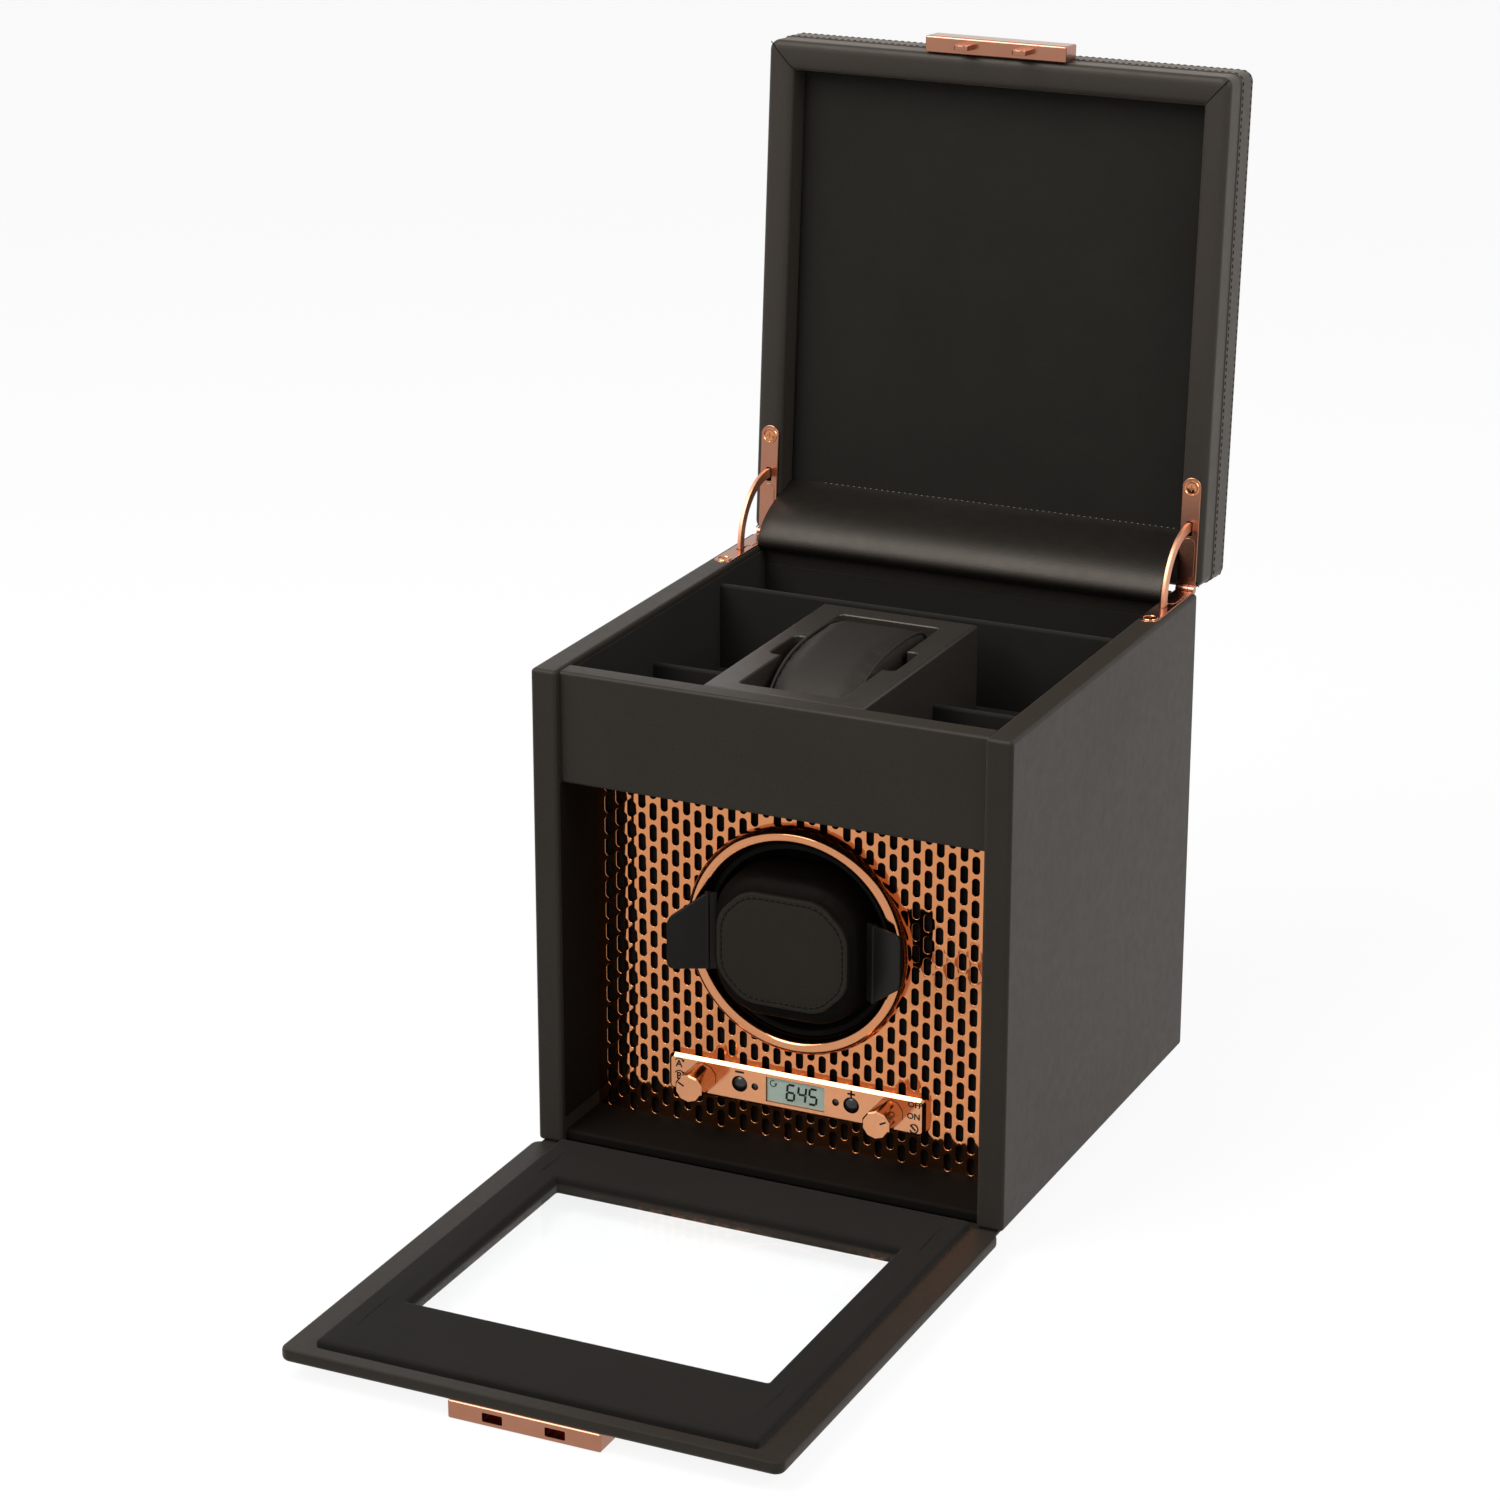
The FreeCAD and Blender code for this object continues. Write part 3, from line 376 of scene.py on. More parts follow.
# %% Finishes seen in one place only
steel_finish = Finish("brushed_steel")
stretch = {"Vector": steel_finish.place, "Scale": (900, 20, 900)}
streaked = steel_finish.node("ShaderNodeMapping", None, stretch)["Vector"]
streaks = steel_finish.node("ShaderNodeTexNoise", None, {"Vector": streaked, "Scale": 1.0})["Fac"]
steel_finish.set(Base_Color=steel_finish.mix(streaks, (0.42, 0.42, 0.42), (0.6, 0.6, 0.6)))
steel_finish.set(Metallic=1.0, Roughness=streaks * 0.2 + 0.25)
steel = steel_finish.material

display_finish = Finish("display_panel")
dots = display_finish.cells(2600, "DISTANCE_TO_EDGE")
haze = display_finish.noise(90, 2)
display_finish.set(Base_Color=display_finish.mix(haze * 0.6 + dots, (0.24, 0.31, 0.25), (0.36, 0.43, 0.36)))
display_finish.set(Roughness=haze * 0.1 + 0.22, Coat_Weight=haze * 0.2 + 0.5)
display = display_finish.material

pane_finish = Finish("clear_window")
smears = pane_finish.noise(25, 3)
pane_finish.set(Base_Color=pane_finish.mix(smears, (0.97, 0.98, 0.98), (1, 1, 1)))
pane_finish.set(Roughness=smears * 0.02, IOR=1.08, Transmission_Weight=1.0)
clear_pane = pane_finish.material
print("last finishes:", steel.name, display.name, clear_pane.name)

# %% [markdown]
# ## From a bmesh to a piece
# Every piece is made in a bmesh and ends in the same way: it is swung open if it sits on the lid or the door,
# carried into the frame, its normals are turned outwards, edges sharper than a limit stay crisp, and it is hung
# on the body that moves it. A Weighted Normal modifier keeps large flat faces flat beside their small bevels.
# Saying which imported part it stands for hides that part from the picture.

# %% Finish a piece
def piece(name, bm, finish, body, slot, stands_for=(), crease=35):
    if body in OPENED:
        bm.transform(OPENED[body])
    bm.transform(TO_FRAME)
    bmesh.ops.recalc_face_normals(bm, faces=bm.faces[:])
    for edge in bm.edges:
        edge.smooth = edge.calc_face_angle(0.0) < math.radians(crease)
    for face in bm.faces:
        face.smooth = True
    made = show(name, as_mesh(name, bm))
    bm.free()
    made.data.materials.append(finish)
    if body:
        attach(made, body)
        made.modifiers.new("even_shading", "WEIGHTED_NORMAL").keep_sharp = True
    if stands_for:
        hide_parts(*stands_for)
    print(name, "has", len(made.data.polygons), "faces")
    return made


print("pieces are made by", piece.__name__)

# %% Boxes and rods
def block(*ranges):
    """A box between ranges in x, y and z."""
    bm = bmesh.new()
    bmesh.ops.create_cube(bm, size=1)
    bmesh.ops.scale(bm, vec=[b - a for a, b in ranges], verts=bm.verts)
    bmesh.ops.translate(bm, vec=[(a + b) / 2 for a, b in ranges], verts=bm.verts)
    return bm


def rod(radius, axis, reach, centre, sides=32):
    """A round rod along an axis. Its centre is given in the other two directions."""
    bm = bmesh.new()
    middle = list(centre)
    middle.insert(axis, sum(reach) / 2)
    turn = Matrix.Rotation(math.pi / 2, 4, "YX"[axis]) if axis < 2 else Matrix()
    bmesh.ops.create_cone(bm, cap_ends=True, segments=sides, radius1=radius, radius2=radius,
                          depth=reach[1] - reach[0], matrix=Matrix.Translation(middle) @ turn)
    return bm


def gather(parts):
    """Several bmeshes in one."""
    whole = bmesh.new()
    for part in parts:
        mesh = as_mesh("part", part)
        part.free()
        whole.from_mesh(mesh)
        bpy.data.meshes.remove(mesh)
    return whole


print("shapes ready:", block.__name__, rod.__name__, gather.__name__)

# %% Choose and round edges
def soften(bm, geom, radius, steps=4, affect="EDGES"):
    """Round some edges, or the corners of a flat outline."""
    bmesh.ops.bevel(bm, geom=list(geom), offset=radius, offset_type="OFFSET", segments=steps, profile=0.5,
                    affect=affect, material=-1, clamp_overlap=True)


def along(bm, axis, test=lambda middle: True):
    """Edges that run along an axis and whose middle passes a test."""
    found = []
    for edge in bm.edges:
        run = edge.verts[1].co - edge.verts[0].co
        if abs(run[axis]) > 0.99 * run.length and test((edge.verts[0].co + edge.verts[1].co) / 2):
            found.append(edge)
    return found


def on_plane(bm, axis, level):
    """Edges that lie in a plane across an axis."""
    return [e for e in bm.edges if all(abs(v.co[axis] - level) < 0.001 for v in e.verts)]


def sharp(bm, angle):
    """Edges whose two faces meet at more than an angle."""
    return [e for e in bm.edges if e.calc_face_angle(0) > angle]


def push(bm, extruded, shift):
    """Move what an extrusion made."""
    bmesh.ops.translate(bm, vec=shift, verts=[v for v in extruded["geom"] if isinstance(v, bmesh.types.BMVert)])


print("edge tools ready:", along.__name__, on_plane.__name__, sharp.__name__)

# %% Modifiers run on a bmesh
def bake(bm, *modifiers):
    """Run modifiers on a bmesh and take the result back into it."""
    shape = show("shape", as_mesh("shape", bm))
    for kind, settings in modifiers:
        step = shape.modifiers.new(kind, kind)
        for key, value in settings.items():
            setattr(step, key, value)
    graph = bpy.context.evaluated_depsgraph_get()
    result = bpy.data.meshes.new_from_object(shape.evaluated_get(graph))
    bm.clear()
    bm.from_mesh(result)
    for used in (shape.data, result):
        bpy.data.meshes.remove(used)


def merge(bm):
    """Join points that lie on each other."""
    bmesh.ops.remove_doubles(bm, verts=bm.verts, dist=0.0005)


def combine(bm, other, operation="DIFFERENCE"):
    """Cut another closed shape out of this one, or join it on."""
    tool = show("tool", as_mesh("tool", other))
    other.free()
    bake(bm, ("BOOLEAN", {"operation": operation, "object": tool, "solver": "EXACT"}))
    bpy.data.meshes.remove(tool.data)
    merge(bm)


print("modifier tools ready:", bake.__name__, combine.__name__)

# %% [markdown]
# ## The case
# The walls are fibreboard wrapped in leather, so every edge is a soft round. A box with all its edges bevelled is
# enough. Each side wall also has a narrow pocket under its hinge, where the curved stay sinks as the lid closes,
# and the pocket is cut with a Boolean so that the stay has somewhere to go.

# %% Side walls
SIDES = (("right", 1), ("left", -1))
INSIDE, OUTSIDE, WALL_TOP = 89.0, 100.0, 198.75
WRAP = 1.7
FACE_Y = -68.0
HINGE_X = 94.0
POCKET = ((HINGE_X - 1.5, HINGE_X + 1.5), (73.2, 96.6))
for side, sign in SIDES:
    bm = block((INSIDE, OUTSIDE), (-OUTSIDE, OUTSIDE), (0, WALL_TOP))
    soften(bm, bm.edges, WRAP, 5)
    combine(bm, block(*POCKET, (172, 206)))
    bmesh.ops.scale(bm, vec=(sign, 1, 1), verts=bm.verts)
    piece(f"leather_wall_{side}", bm, leather, "case", "leather", [f"side_wall_{side}"])

# %% Back wall with its round hole, floor and fascia
INLET = (-62.0, 40.0)
bm = block((-INSIDE, INSIDE), (INSIDE, OUTSIDE), (0, WALL_TOP))
soften(bm, along(bm, 0), WRAP, 5)
combine(bm, rod(5.6, 1, (80, 110), INLET, 48))
piece("leather_back", bm, leather, "case", "leather", ["back_wall"])

# The floor board takes the darker leather, painted shade of the bay.
for name, node, finish in (("leather_floor", "bottom_board", bay_shade_leather),
                           ("leather_fascia", "front_fascia", leather)):
    bm = block(*extents(node))
    soften(bm, along(bm, 0), 1.5)
    piece(name, bm, finish, "case", "leather", [node])

# %% [markdown]
# ## Power inlet
# A round socket with a centre pin sits in the back wall. Its section is a short line of points, and spinning the
# line once round makes the lip, the bore and the pin in one go.

# %% Turned shapes
def turned(profile, centre, steps):
    """Spin a line of (radius, y) points about an axis along y through (x, z)."""
    bm = bmesh.new()
    x, z = centre
    verts = [bm.verts.new((x + r, y, z)) for r, y in profile]
    edges = [bm.edges.new(pair) for pair in zip(verts, verts[1:])]
    bmesh.ops.spin(bm, geom=verts + edges, cent=(x, 0, z), axis=(0, 1, 0), angle=math.tau, steps=steps,
                   use_merge=True)
    merge(bm)
    return bm


SOCKET = [(0, 88.2), (5.5, 88.2), (5.5, 100.8), (5.1, 101.2), (3.3, 101.2), (2.8, 100.8), (2.8, 91.7), (1.0, 91.7),
          (1.0, 99.7), (0.7, 100), (0, 100)]
piece("inlet_socket", turned(SOCKET, INLET, 48), gloss_black, "case", "black_plastic", ["power_inlet"])

# %% Darker lining on the walls beside the grille, painted shade of the bay
def one_side(sign, near, far):
    """A range in x on one side of the middle."""
    return sorted((sign * near, sign * far))


GRILLE_TOP = 152.5
bm = gather(block(one_side(sign, 88.6, INSIDE), (-97.5, FACE_Y), (11, GRILLE_TOP)) for sign in (-1, 1))
soften(bm, along(bm, 2), 0.15, 2)
piece("bay_shade_lining", bm, bay_shade_leather, "case", "leather")

# %% [markdown]
# ## Storage tray
# The tray is lined with suede. Thin panels cover the inner faces of the walls and stop a little below the top, so
# that the leather wraps over the edge as it does on the real box. The dividers are thin boards with rounded tops.

# %% Suede panels and dividers
SKIN = 0.6
TRAY_Z = 157
FASCIA_Y = -86.6
panels = []
for sign in (-1, 1):
    panels.append(block(one_side(sign, INSIDE - SKIN, INSIDE), (FASCIA_Y, INSIDE), (TRAY_Z, 196.2)))
    panels.append(block(one_side(sign, 33.5, INSIDE), (FASCIA_Y, FASCIA_Y + SKIN), (TRAY_Z, 195.4)))
panels.append(block((-INSIDE, INSIDE), (INSIDE - SKIN, INSIDE), (TRAY_Z, 190)))
bm = gather(panels)
soften(bm, along(bm, 0) + along(bm, 1), 0.25, 2)
piece("tray_suede", bm, suede, "case", "suede")

for node in ("tray_floor", "rear_divider", "cross_divider_right", "cross_divider_left"):
    bm = block(*extents(node))
    top = extents(node)[2][1]
    soften(bm, along(bm, 0, lambda middle: middle.z > top - 0.1), 1.2)
    piece(f"suede_{node}", bm, suede, "case", "suede", [node])

# %% [markdown]
# ## Watch holder
# A covered block stands against the fascia with a deep well for the pillow. Two notches let finger and thumb reach
# the pillow's sides. The well and the notches are cut first, and the whole rim is rounded afterwards in one bevel.

# %% Holder block
HOLDER_TOP = 197.5
CLEAR = 210
bm = block(*extents("watch_holder"))
soften(bm, along(bm, 1, lambda m: m.z > 197) + along(bm, 0, lambda m: m.z > 197), 1.5)
well = block((-21.5, 21.5), (-78, 17), (159.5, CLEAR))
soften(well, along(well, 2), 2.0)
notches = block((-26.6, 26.6), (-40, -15.5), (188.5, CLEAR))
soften(notches, along(notches, 2), 2.5)
combine(well, notches, "UNION")
combine(bm, well)
rim = [e for e in bm.edges if all(abs(v.co.z - HOLDER_TOP) < 0.01 and abs(v.co.x) < 28 for v in e.verts)
       and e.calc_face_angle(0) > 1]
soften(bm, rim, 0.7, 3)
piece("holder_block", bm, holder_lit_leather, "case", "leather", ["watch_holder"])

# %% [markdown]
# ## Watch pillow
# The pillow is a foam cushion in thin leather, flat on top and bowed at the front, so that a strap can close round
# it. Its side is a smooth curve through a few points, filled and pushed across. A short cloth run under pressure
# then swells it, because a stuffed cushion bulges between its seams. The run is made ten times life size, where
# Cloth is steady.

# %% Swell a cushion
CLOTH_SCALE = 0.01
CLOTH_FRAMES = 20
VOXEL = 1.8


def resize(bm, factor):
    bmesh.ops.scale(bm, vec=(factor, factor, factor), verts=bm.verts)


def swell(bm, most, pressure=4.0):
    """Blow a closed shape up a little, as stuffing does. The most that a point moves is in millimetres."""
    resize(bm, CLOTH_SCALE)
    bake(bm, ("REMESH", {"mode": "VOXEL", "voxel_size": VOXEL * CLOTH_SCALE}))
    cushion = show("cushion", as_mesh("cushion", bm))
    cloth = cushion.modifiers.new("Cloth", "CLOTH")
    cloth.settings.use_pressure = True
    cloth.settings.uniform_pressure_force = pressure
    cloth.settings.effector_weights.gravity = 0
    for step in range(1, CLOTH_FRAMES + 1):
        bpy.context.scene.frame_set(step)
    graph = bpy.context.evaluated_depsgraph_get()
    blown = cushion.evaluated_get(graph).to_mesh()
    limit = most * CLOTH_SCALE
    bm.verts.ensure_lookup_table()
    for vert, end in zip(bm.verts, blown.vertices):
        move = end.co - vert.co
        if move.length > limit:
            move *= limit / move.length
        vert.co += move
    bpy.data.objects.remove(cushion)
    bpy.context.scene.frame_set(1)
    bmesh.ops.smooth_vert(bm, verts=bm.verts, factor=0.5, use_axis_x=True, use_axis_y=True, use_axis_z=True)
    bake(bm, ("SUBSURF", {"levels": 1, "render_levels": 1}))
    resize(bm, 1 / CLOTH_SCALE)


print("cushions swell at", 1000 * CLOTH_SCALE, "times life size")

# %% Curves read as meshes
def curve_line(kind, points):
    """A curve of one spline with points."""
    curve = bpy.data.curves.new("line", "CURVE")
    curve.dimensions = "3D"
    line = curve.splines.new(kind)
    line.points.add(len(points) - 1)
    for knot, point in zip(line.points, points):
        knot.co = (*point, 1)
    return curve


def meshed(curve):
    """A curve or a text turned into a bmesh, and dropped."""
    mesh = bpy.data.meshes.new_from_object(bpy.data.objects.new("line", curve))
    bm = bmesh.new()
    bm.from_mesh(mesh)
    bpy.data.meshes.remove(mesh)
    bpy.data.curves.remove(curve)
    return bm


print("curve tools ready:", curve_line.__name__, meshed.__name__)

# %% Pillow
PILLOW_HALF = 18.4
PILLOW_FOOT = 160.3
PILLOW_TOP = [(13.5, 186), (12.8, 195), (8, 199.4), (-8, 200.8), (-30, 200.2), (-46, 196.8), (-59, 189),
              (-68, 177), (-72, 166)]


def pillow_arch(x):
    """Points over the pillow's top at one distance from its middle line, on a smooth curve through a few places."""
    curve = curve_line("NURBS", [(x, y, z) for y, z in PILLOW_TOP])
    line = curve.splines[0]
    line.use_endpoint_u = True
    line.order_u = 4
    line.resolution_u = 5
    bm = meshed(curve)
    points = [vert.co.copy() for vert in bm.verts]
    bm.free()
    return points


bm = bmesh.new()
over = pillow_arch(-PILLOW_HALF)
verts = [bm.verts.new(point) for point in over]
verts += [bm.verts.new((-PILLOW_HALF, end.y, PILLOW_FOOT)) for end in (over[-1], over[0])]
side_face = [bm.faces.new(verts)]
push(bm, bmesh.ops.extrude_face_region(bm, geom=side_face), (2 * PILLOW_HALF, 0, 0))
bmesh.ops.recalc_face_normals(bm, faces=bm.faces[:])
swell(bm, 0.8)
pillow = piece("pillow_cushion", bm, cushion_leather, "pillow", "cuff_leather", ["watch_pillow"])

# %% [markdown]
# ## Seams and stitches
# A seam is a thin round cord, best made as a curve with a bevel and then turned into a mesh. A stitch is a tiny
# lens of thread. There are hundreds of them, so each is a twenty-faced ball stretched along the seam.

# %% Cords, stitch rows and the pillow's piping
def cord_mesh(points, radius):
    """A thin round cord along points, as a bmesh."""
    curve = curve_line("POLY", points)
    curve.bevel_depth = radius
    curve.bevel_resolution = 2
    curve.use_fill_caps = True
    return meshed(curve)


def stitches(path, facing, pitch, length, width):
    """Stitches along a path of points. facing gives the outward direction for a direction of travel."""
    bm = bmesh.new()
    travelled, due = 0.0, pitch / 2
    for first, last in zip(path, path[1:]):
        first, last = Vector(first), Vector(last)
        run = last - first
        while run.length > 0 and due <= travelled + run.length:
            way = run.normalized()
            out = facing(way)
            across = out.cross(way)
            spot = first + way * (due - travelled)
            turn = Matrix((way * length, across * width, out * width * 0.6)).transposed().to_4x4()
            bmesh.ops.create_icosphere(bm, subdivisions=1, radius=0.5, matrix=Matrix.Translation(spot) @ turn)
            due += pitch
        travelled += run.length
    return bm


UP = Vector((0, 0, 1))
cords = []
for sign in (-1, 1):
    over = pillow_arch(sign * (PILLOW_HALF - 0.4))
    cords.append(cord_mesh([point - UP * 0.5 for point in over], 0.6))
piece("pillow_piping", gather(cords), cushion_leather, "pillow", "cuff_leather")

# %% [markdown]
# ## The lid
# The lid is a shallow tray. Its rim is padded, slopes inwards and is mitred at the corners, and a sewn band runs
# round its sides. Such a form is a set of rounded rectangles, one for each step of the section, bridged in turn.

# %% Rounded rectangles, bridged
def hoop(bm, x, y, level, corner, upright=False, cut=0.0, steps=5):
    """A rounded rectangle of edges, flat at a height or upright at a depth."""
    known = set(bm.edges)

    def fresh():
        edges = [edge for edge in bm.edges if edge not in known]
        return edges, list({vert for edge in edges for vert in edge.verts})

    corners = bmesh.ops.create_grid(bm, x_segments=1, y_segments=1, size=0.5)["verts"]
    bmesh.ops.scale(bm, vec=(x[1] - x[0], y[1] - y[0], 1), verts=corners)
    for size, count in ((cut, 1), (corner, steps)):
        if size:
            soften(bm, fresh()[1], size, count, "VERTICES")
    edges, verts = fresh()
    bmesh.ops.delete(bm, geom=list({f for e in edges for f in e.link_faces}), context="FACES_ONLY")
    if upright:
        bmesh.ops.rotate(bm, matrix=Matrix.Rotation(math.pi / 2, 3, "X"), verts=verts)
    across, deep = sum(x) / 2, sum(y) / 2
    bmesh.ops.translate(bm, vec=(across, level, deep) if upright else (across, deep, level), verts=verts)
    return edges


def skin(bm, hoops, ring=False):
    """Bridge hoops in turn, and either close the ring or cap both ends."""
    for first, second in zip(hoops, hoops[1:] + hoops[:1] if ring else hoops[1:]):
        bmesh.ops.bridge_loops(bm, edges=first + second)
    if not ring:
        for end in (hoops[0], hoops[-1]):
            bmesh.ops.edgeloop_fill(bm, edges=end)


LID_X, LID_Y = 100.5, (-105.6, 102.2)
RIM_SIDE, RIM_FRONT, RIM_REAR = 11.5, 12.5, 13.2
LID_CORNER = 4.5


def lid_range(inset):
    """The lid's outline, moved in by a share of each side's rim."""
    share = inset / RIM_SIDE
    return ((inset - LID_X, LID_X - inset), (LID_Y[0] + share * RIM_FRONT, LID_Y[1] - share * RIM_REAR))


LID_SECTION = [(5.6, 229.6), (3.6, 229.4), (2.0, 228.85), (0.9, 227.9), (0.25, 226.6), (0, 225.2), (0, 213.0),
               (0.35, 212.6), (0.35, 202.6), (0.55, 201.4), (1.2, 200.4), (2.4, 199.9), (4, 199.85),
               (6.5, 199.95), (8.8, 200.3), (10.2, 200.9), (11.1, 201.9), (11.5, 203.4), (11.5, 214.6)]
bm = bmesh.new()
skin(bm, [hoop(bm, *lid_range(inset), level, max(0.7, LID_CORNER - inset)) for inset, level in LID_SECTION])
for sign in (-1, 1):
    combine(bm, block(one_side(sign, *POCKET[0]), POCKET[1], (190, 226)))
    combine(bm, block(one_side(sign, 90, 98), (99.7, 104), (195, 201.6)))
piece("lid_lit_leather", bm, lid_lit_leather, "lid", "leather", ["lid_shell"])

# %% Lid seams: a sewn band on the sides and a mitre at each corner
def outline(x, y, corner, **more):
    """Points of a rounded rectangle in order, closed."""
    bm = bmesh.new()
    hoop(bm, x, y, 0, corner, **more)
    middle = Vector((sum(x) / 2, sum(y) / 2, 0))
    around = sorted((v.co.copy() for v in bm.verts), key=lambda p: math.atan2(p.y - middle.y, p.x - middle.x))
    bm.free()
    return around + around[:1]


rows = []
for level in (214.4, 224.9):
    path = [p + UP * level for p in outline(*lid_range(0), LID_CORNER)]
    rows.append(stitches(path, lambda way: way.cross(UP), pitch=2.8, length=2.0, width=0.9))
piece("lid_stitches", gather(rows), thread_black, "lid", "leather")

seams = []
for right in (0, 1):
    for rear in (0, 1):
        places = [(*lid_range(inset), level) for inset, level in LID_SECTION[10:18]]
        seams.append(cord_mesh([(x[right], y[rear], level - 0.02) for x, y, level in places], 0.22))
piece("lid_mitre_seams", gather(seams), thread_black, "lid", "leather")

# %% Lid lining with its row of stitches
bm = bmesh.new()
skin(bm, [hoop(bm, (inset - INSIDE, INSIDE - inset), (inset - 93.1, INSIDE - inset), level, 0.6)
          for inset, level in ((0.1, 214.5), (0.1, 212.7), (0.5, 212.0), (1.4, 211.65), (6, 211.45), (25, 211.2))])
piece("lining_suede", bm, suede, "lid", "suede", ["lid_lining"])

bm = stitches([(-74, 80.5, 211.3), (84, 80.5, 211.3)], lambda way: -UP, pitch=2.6, length=1.1, width=0.35)
piece("lining_stitches", bm, thread_grey, "lid", "suede")

# %% [markdown]
# ## The flap over the hinge line
# A strip of leather runs from the case's back wall up to the lid's lining and hides the hinge line. It is a few
# points pushed across, smoothed by subdivision and given its thickness. It isn't hung on either body, so it keeps
# the shape it is made in. The door's strap is made in the same way.

# %% Leather strips that bend
def strip(course, half, thickness, levels):
    """A strip across x along a course of (y, z) points."""
    bm = bmesh.new()
    verts = [bm.verts.new((-half, y, z)) for y, z in course]
    edges = [bm.edges.new(pair) for pair in zip(verts, verts[1:])]
    push(bm, bmesh.ops.extrude_edge_only(bm, edges=edges), (2 * half, 0, 0))
    bmesh.ops.subdivide_edges(bm, edges=along(bm, 0), cuts=5)
    bake(bm, ("SUBSURF", {"levels": levels, "render_levels": levels}),
         ("SOLIDIFY", {"thickness": thickness, "offset": 0.0}))
    return bm


# The flap's leather is darker, painted shade of the cove.
bm = strip([(88.6, 196.5), (86.6, 197.2), (84.6, 198.6), (84.2, 201.2), (86.4, 205.4), (91.4, 209.6),
            (98.5, 213), (107, 215.8), (113, 217.8), (116, 219.4)], 89.5, 1.4, 3)
gusset = piece("hinge_flap", bm, flap_shade_leather, None, "leather", ["lid_gusset"])
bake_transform(gusset)

bm = strip([(-85, -0.5), (-92, -0.5), (-98, -0.5), (-101.2, -0.5), (-101.9, -0.8), (-102.0, -1.5),
            (-102.0, -2.2)], 98, 0.9, 2)
strap = piece("door_hinge_leather", bm, leather, None, "leather", ["door_hinge_strap"])
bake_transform(strap)

# %% [markdown]
# ## Lid hinges
# Each hinge is two plated leaves with rounded ends, joined by a barrel, and a curved stay that slides through
# a slot in both. The stay is a small rectangle spun about the hinge line, so it keeps its distance from it.

# %% Hinge leaves and their screws
TONGUE_RISE = 0.22
SCREW_Y = 60.4


def about_hinge(half):
    """A range in x about the middle of a hinge."""
    return HINGE_X - half, HINGE_X + half


def leaf(z, knuckles, face, out):
    """A leaf with a full round end and a raised tongue, slotted where the stay passes."""
    bm = block(about_hinge(4), (56, 100.4), z)
    soften(bm, along(bm, 2, lambda m: m.y < 60), 3.95, 8)
    soften(bm, on_plane(bm, 2, face), 0.35, 3)
    slot = block(about_hinge(1.3), (74, 80), (z[0] - 2, z[1] + 2))
    soften(slot, along(slot, 2), 0.6, 3)
    combine(bm, slot)
    tongue = block(about_hinge(2.9), (81, 97.5), sorted((face - out * 0.4, face + out * TONGUE_RISE)))
    soften(tongue, along(tongue, 2, lambda m: m.y < 90), 2.6, 8)
    soften(tongue, along(tongue, 2, lambda m: m.y > 90), 0.8, 3)
    soften(tongue, on_plane(tongue, 2, face + out * TONGUE_RISE), 0.2, 2)
    combine(bm, tongue, "UNION")
    for reach in knuckles:
        combine(bm, rod(1.7, 0, reach, LID_AXIS, 28), "UNION")
    return bm


def screw(face, out):
    """A countersunk screw with a cross recess, on a face that looks up or down."""
    bm = turned([(0, -0.26), (1.5, -0.24), (2.1, 0.05), (2.45, 0.05), (2.75, -0.26), (3.05, -0.26), (3.3, 0.05),
                 (3.3, 0.6), (0, 0.6)], (0, 0), 32)
    for wide, long in ((0.55, 2.6), (2.6, 0.55)):
        combine(bm, block((-wide / 2, wide / 2), (-2, 0.15), (-long / 2, long / 2)))
    bm.transform(Matrix.Translation((HINGE_X, SCREW_Y, face)) @ Matrix.Rotation(-out * math.pi / 2, 4, "X"))
    return bm


LEAVES = (("case", (197.8, 199.0), 199.0, 1, [(90.12, 92.54), (95.46, 97.88)]),
          ("lid", (199.6, 200.8), 199.6, -1, [(92.79, 95.21)]))
for side, sign in SIDES:
    for body, z, face, out, knuckles in LEAVES:
        node = f"hinge_leaf_{body}_{side}"
        plate, head = leaf(z, knuckles, face, out), screw(face, out)
        for bm in (plate, head):
            bmesh.ops.scale(bm, vec=(sign, 1, 1), verts=bm.verts)
        piece(f"copper_{node}", plate, fitting_copper_painted_dark, body, "copper", [node])
        piece(f"hinge_screw_{body}_{side}", head, copper, body, "copper")

# %% Curved stays
STAY_RADIUS, STAY_SWEEP = 25.5, 110
for side, sign in SIDES:
    bm = bmesh.new()
    section = bmesh.ops.create_grid(bm, x_segments=1, y_segments=1, size=0.5)["verts"]
    bmesh.ops.scale(bm, vec=(1.6, 4, 1), verts=section)
    bmesh.ops.translate(bm, vec=(sign * HINGE_X, LID_AXIS[0] - STAY_RADIUS, LID_AXIS[1]), verts=section)
    bm.transform(swing(-STAY_SWEEP / 2, LID_AXIS))
    bmesh.ops.spin(bm, geom=bm.verts[:] + bm.edges[:] + bm.faces[:], cent=(0, *LID_AXIS), axis=(1, 0, 0),
                   angle=math.radians(STAY_SWEEP), steps=32)
    soften(bm, sharp(bm, 0.8), 0.35, 2)
    piece(f"copper_stay_{side}", bm, stay_copper, f"{side}_stay", "copper", [f"stay_arm_{side}"])

# %% [markdown]
# ## The door
# The door is a leather-covered frame round a clear window, with a raised suede frame on its inner face that seats
# in the case. Both frames are rings of hoops: an outer set and a set round the window, closed on themselves.

# %% Door frame, pad and pane
WINDOW_X, WINDOW_Z = 73.0, (33.5, 151.0)


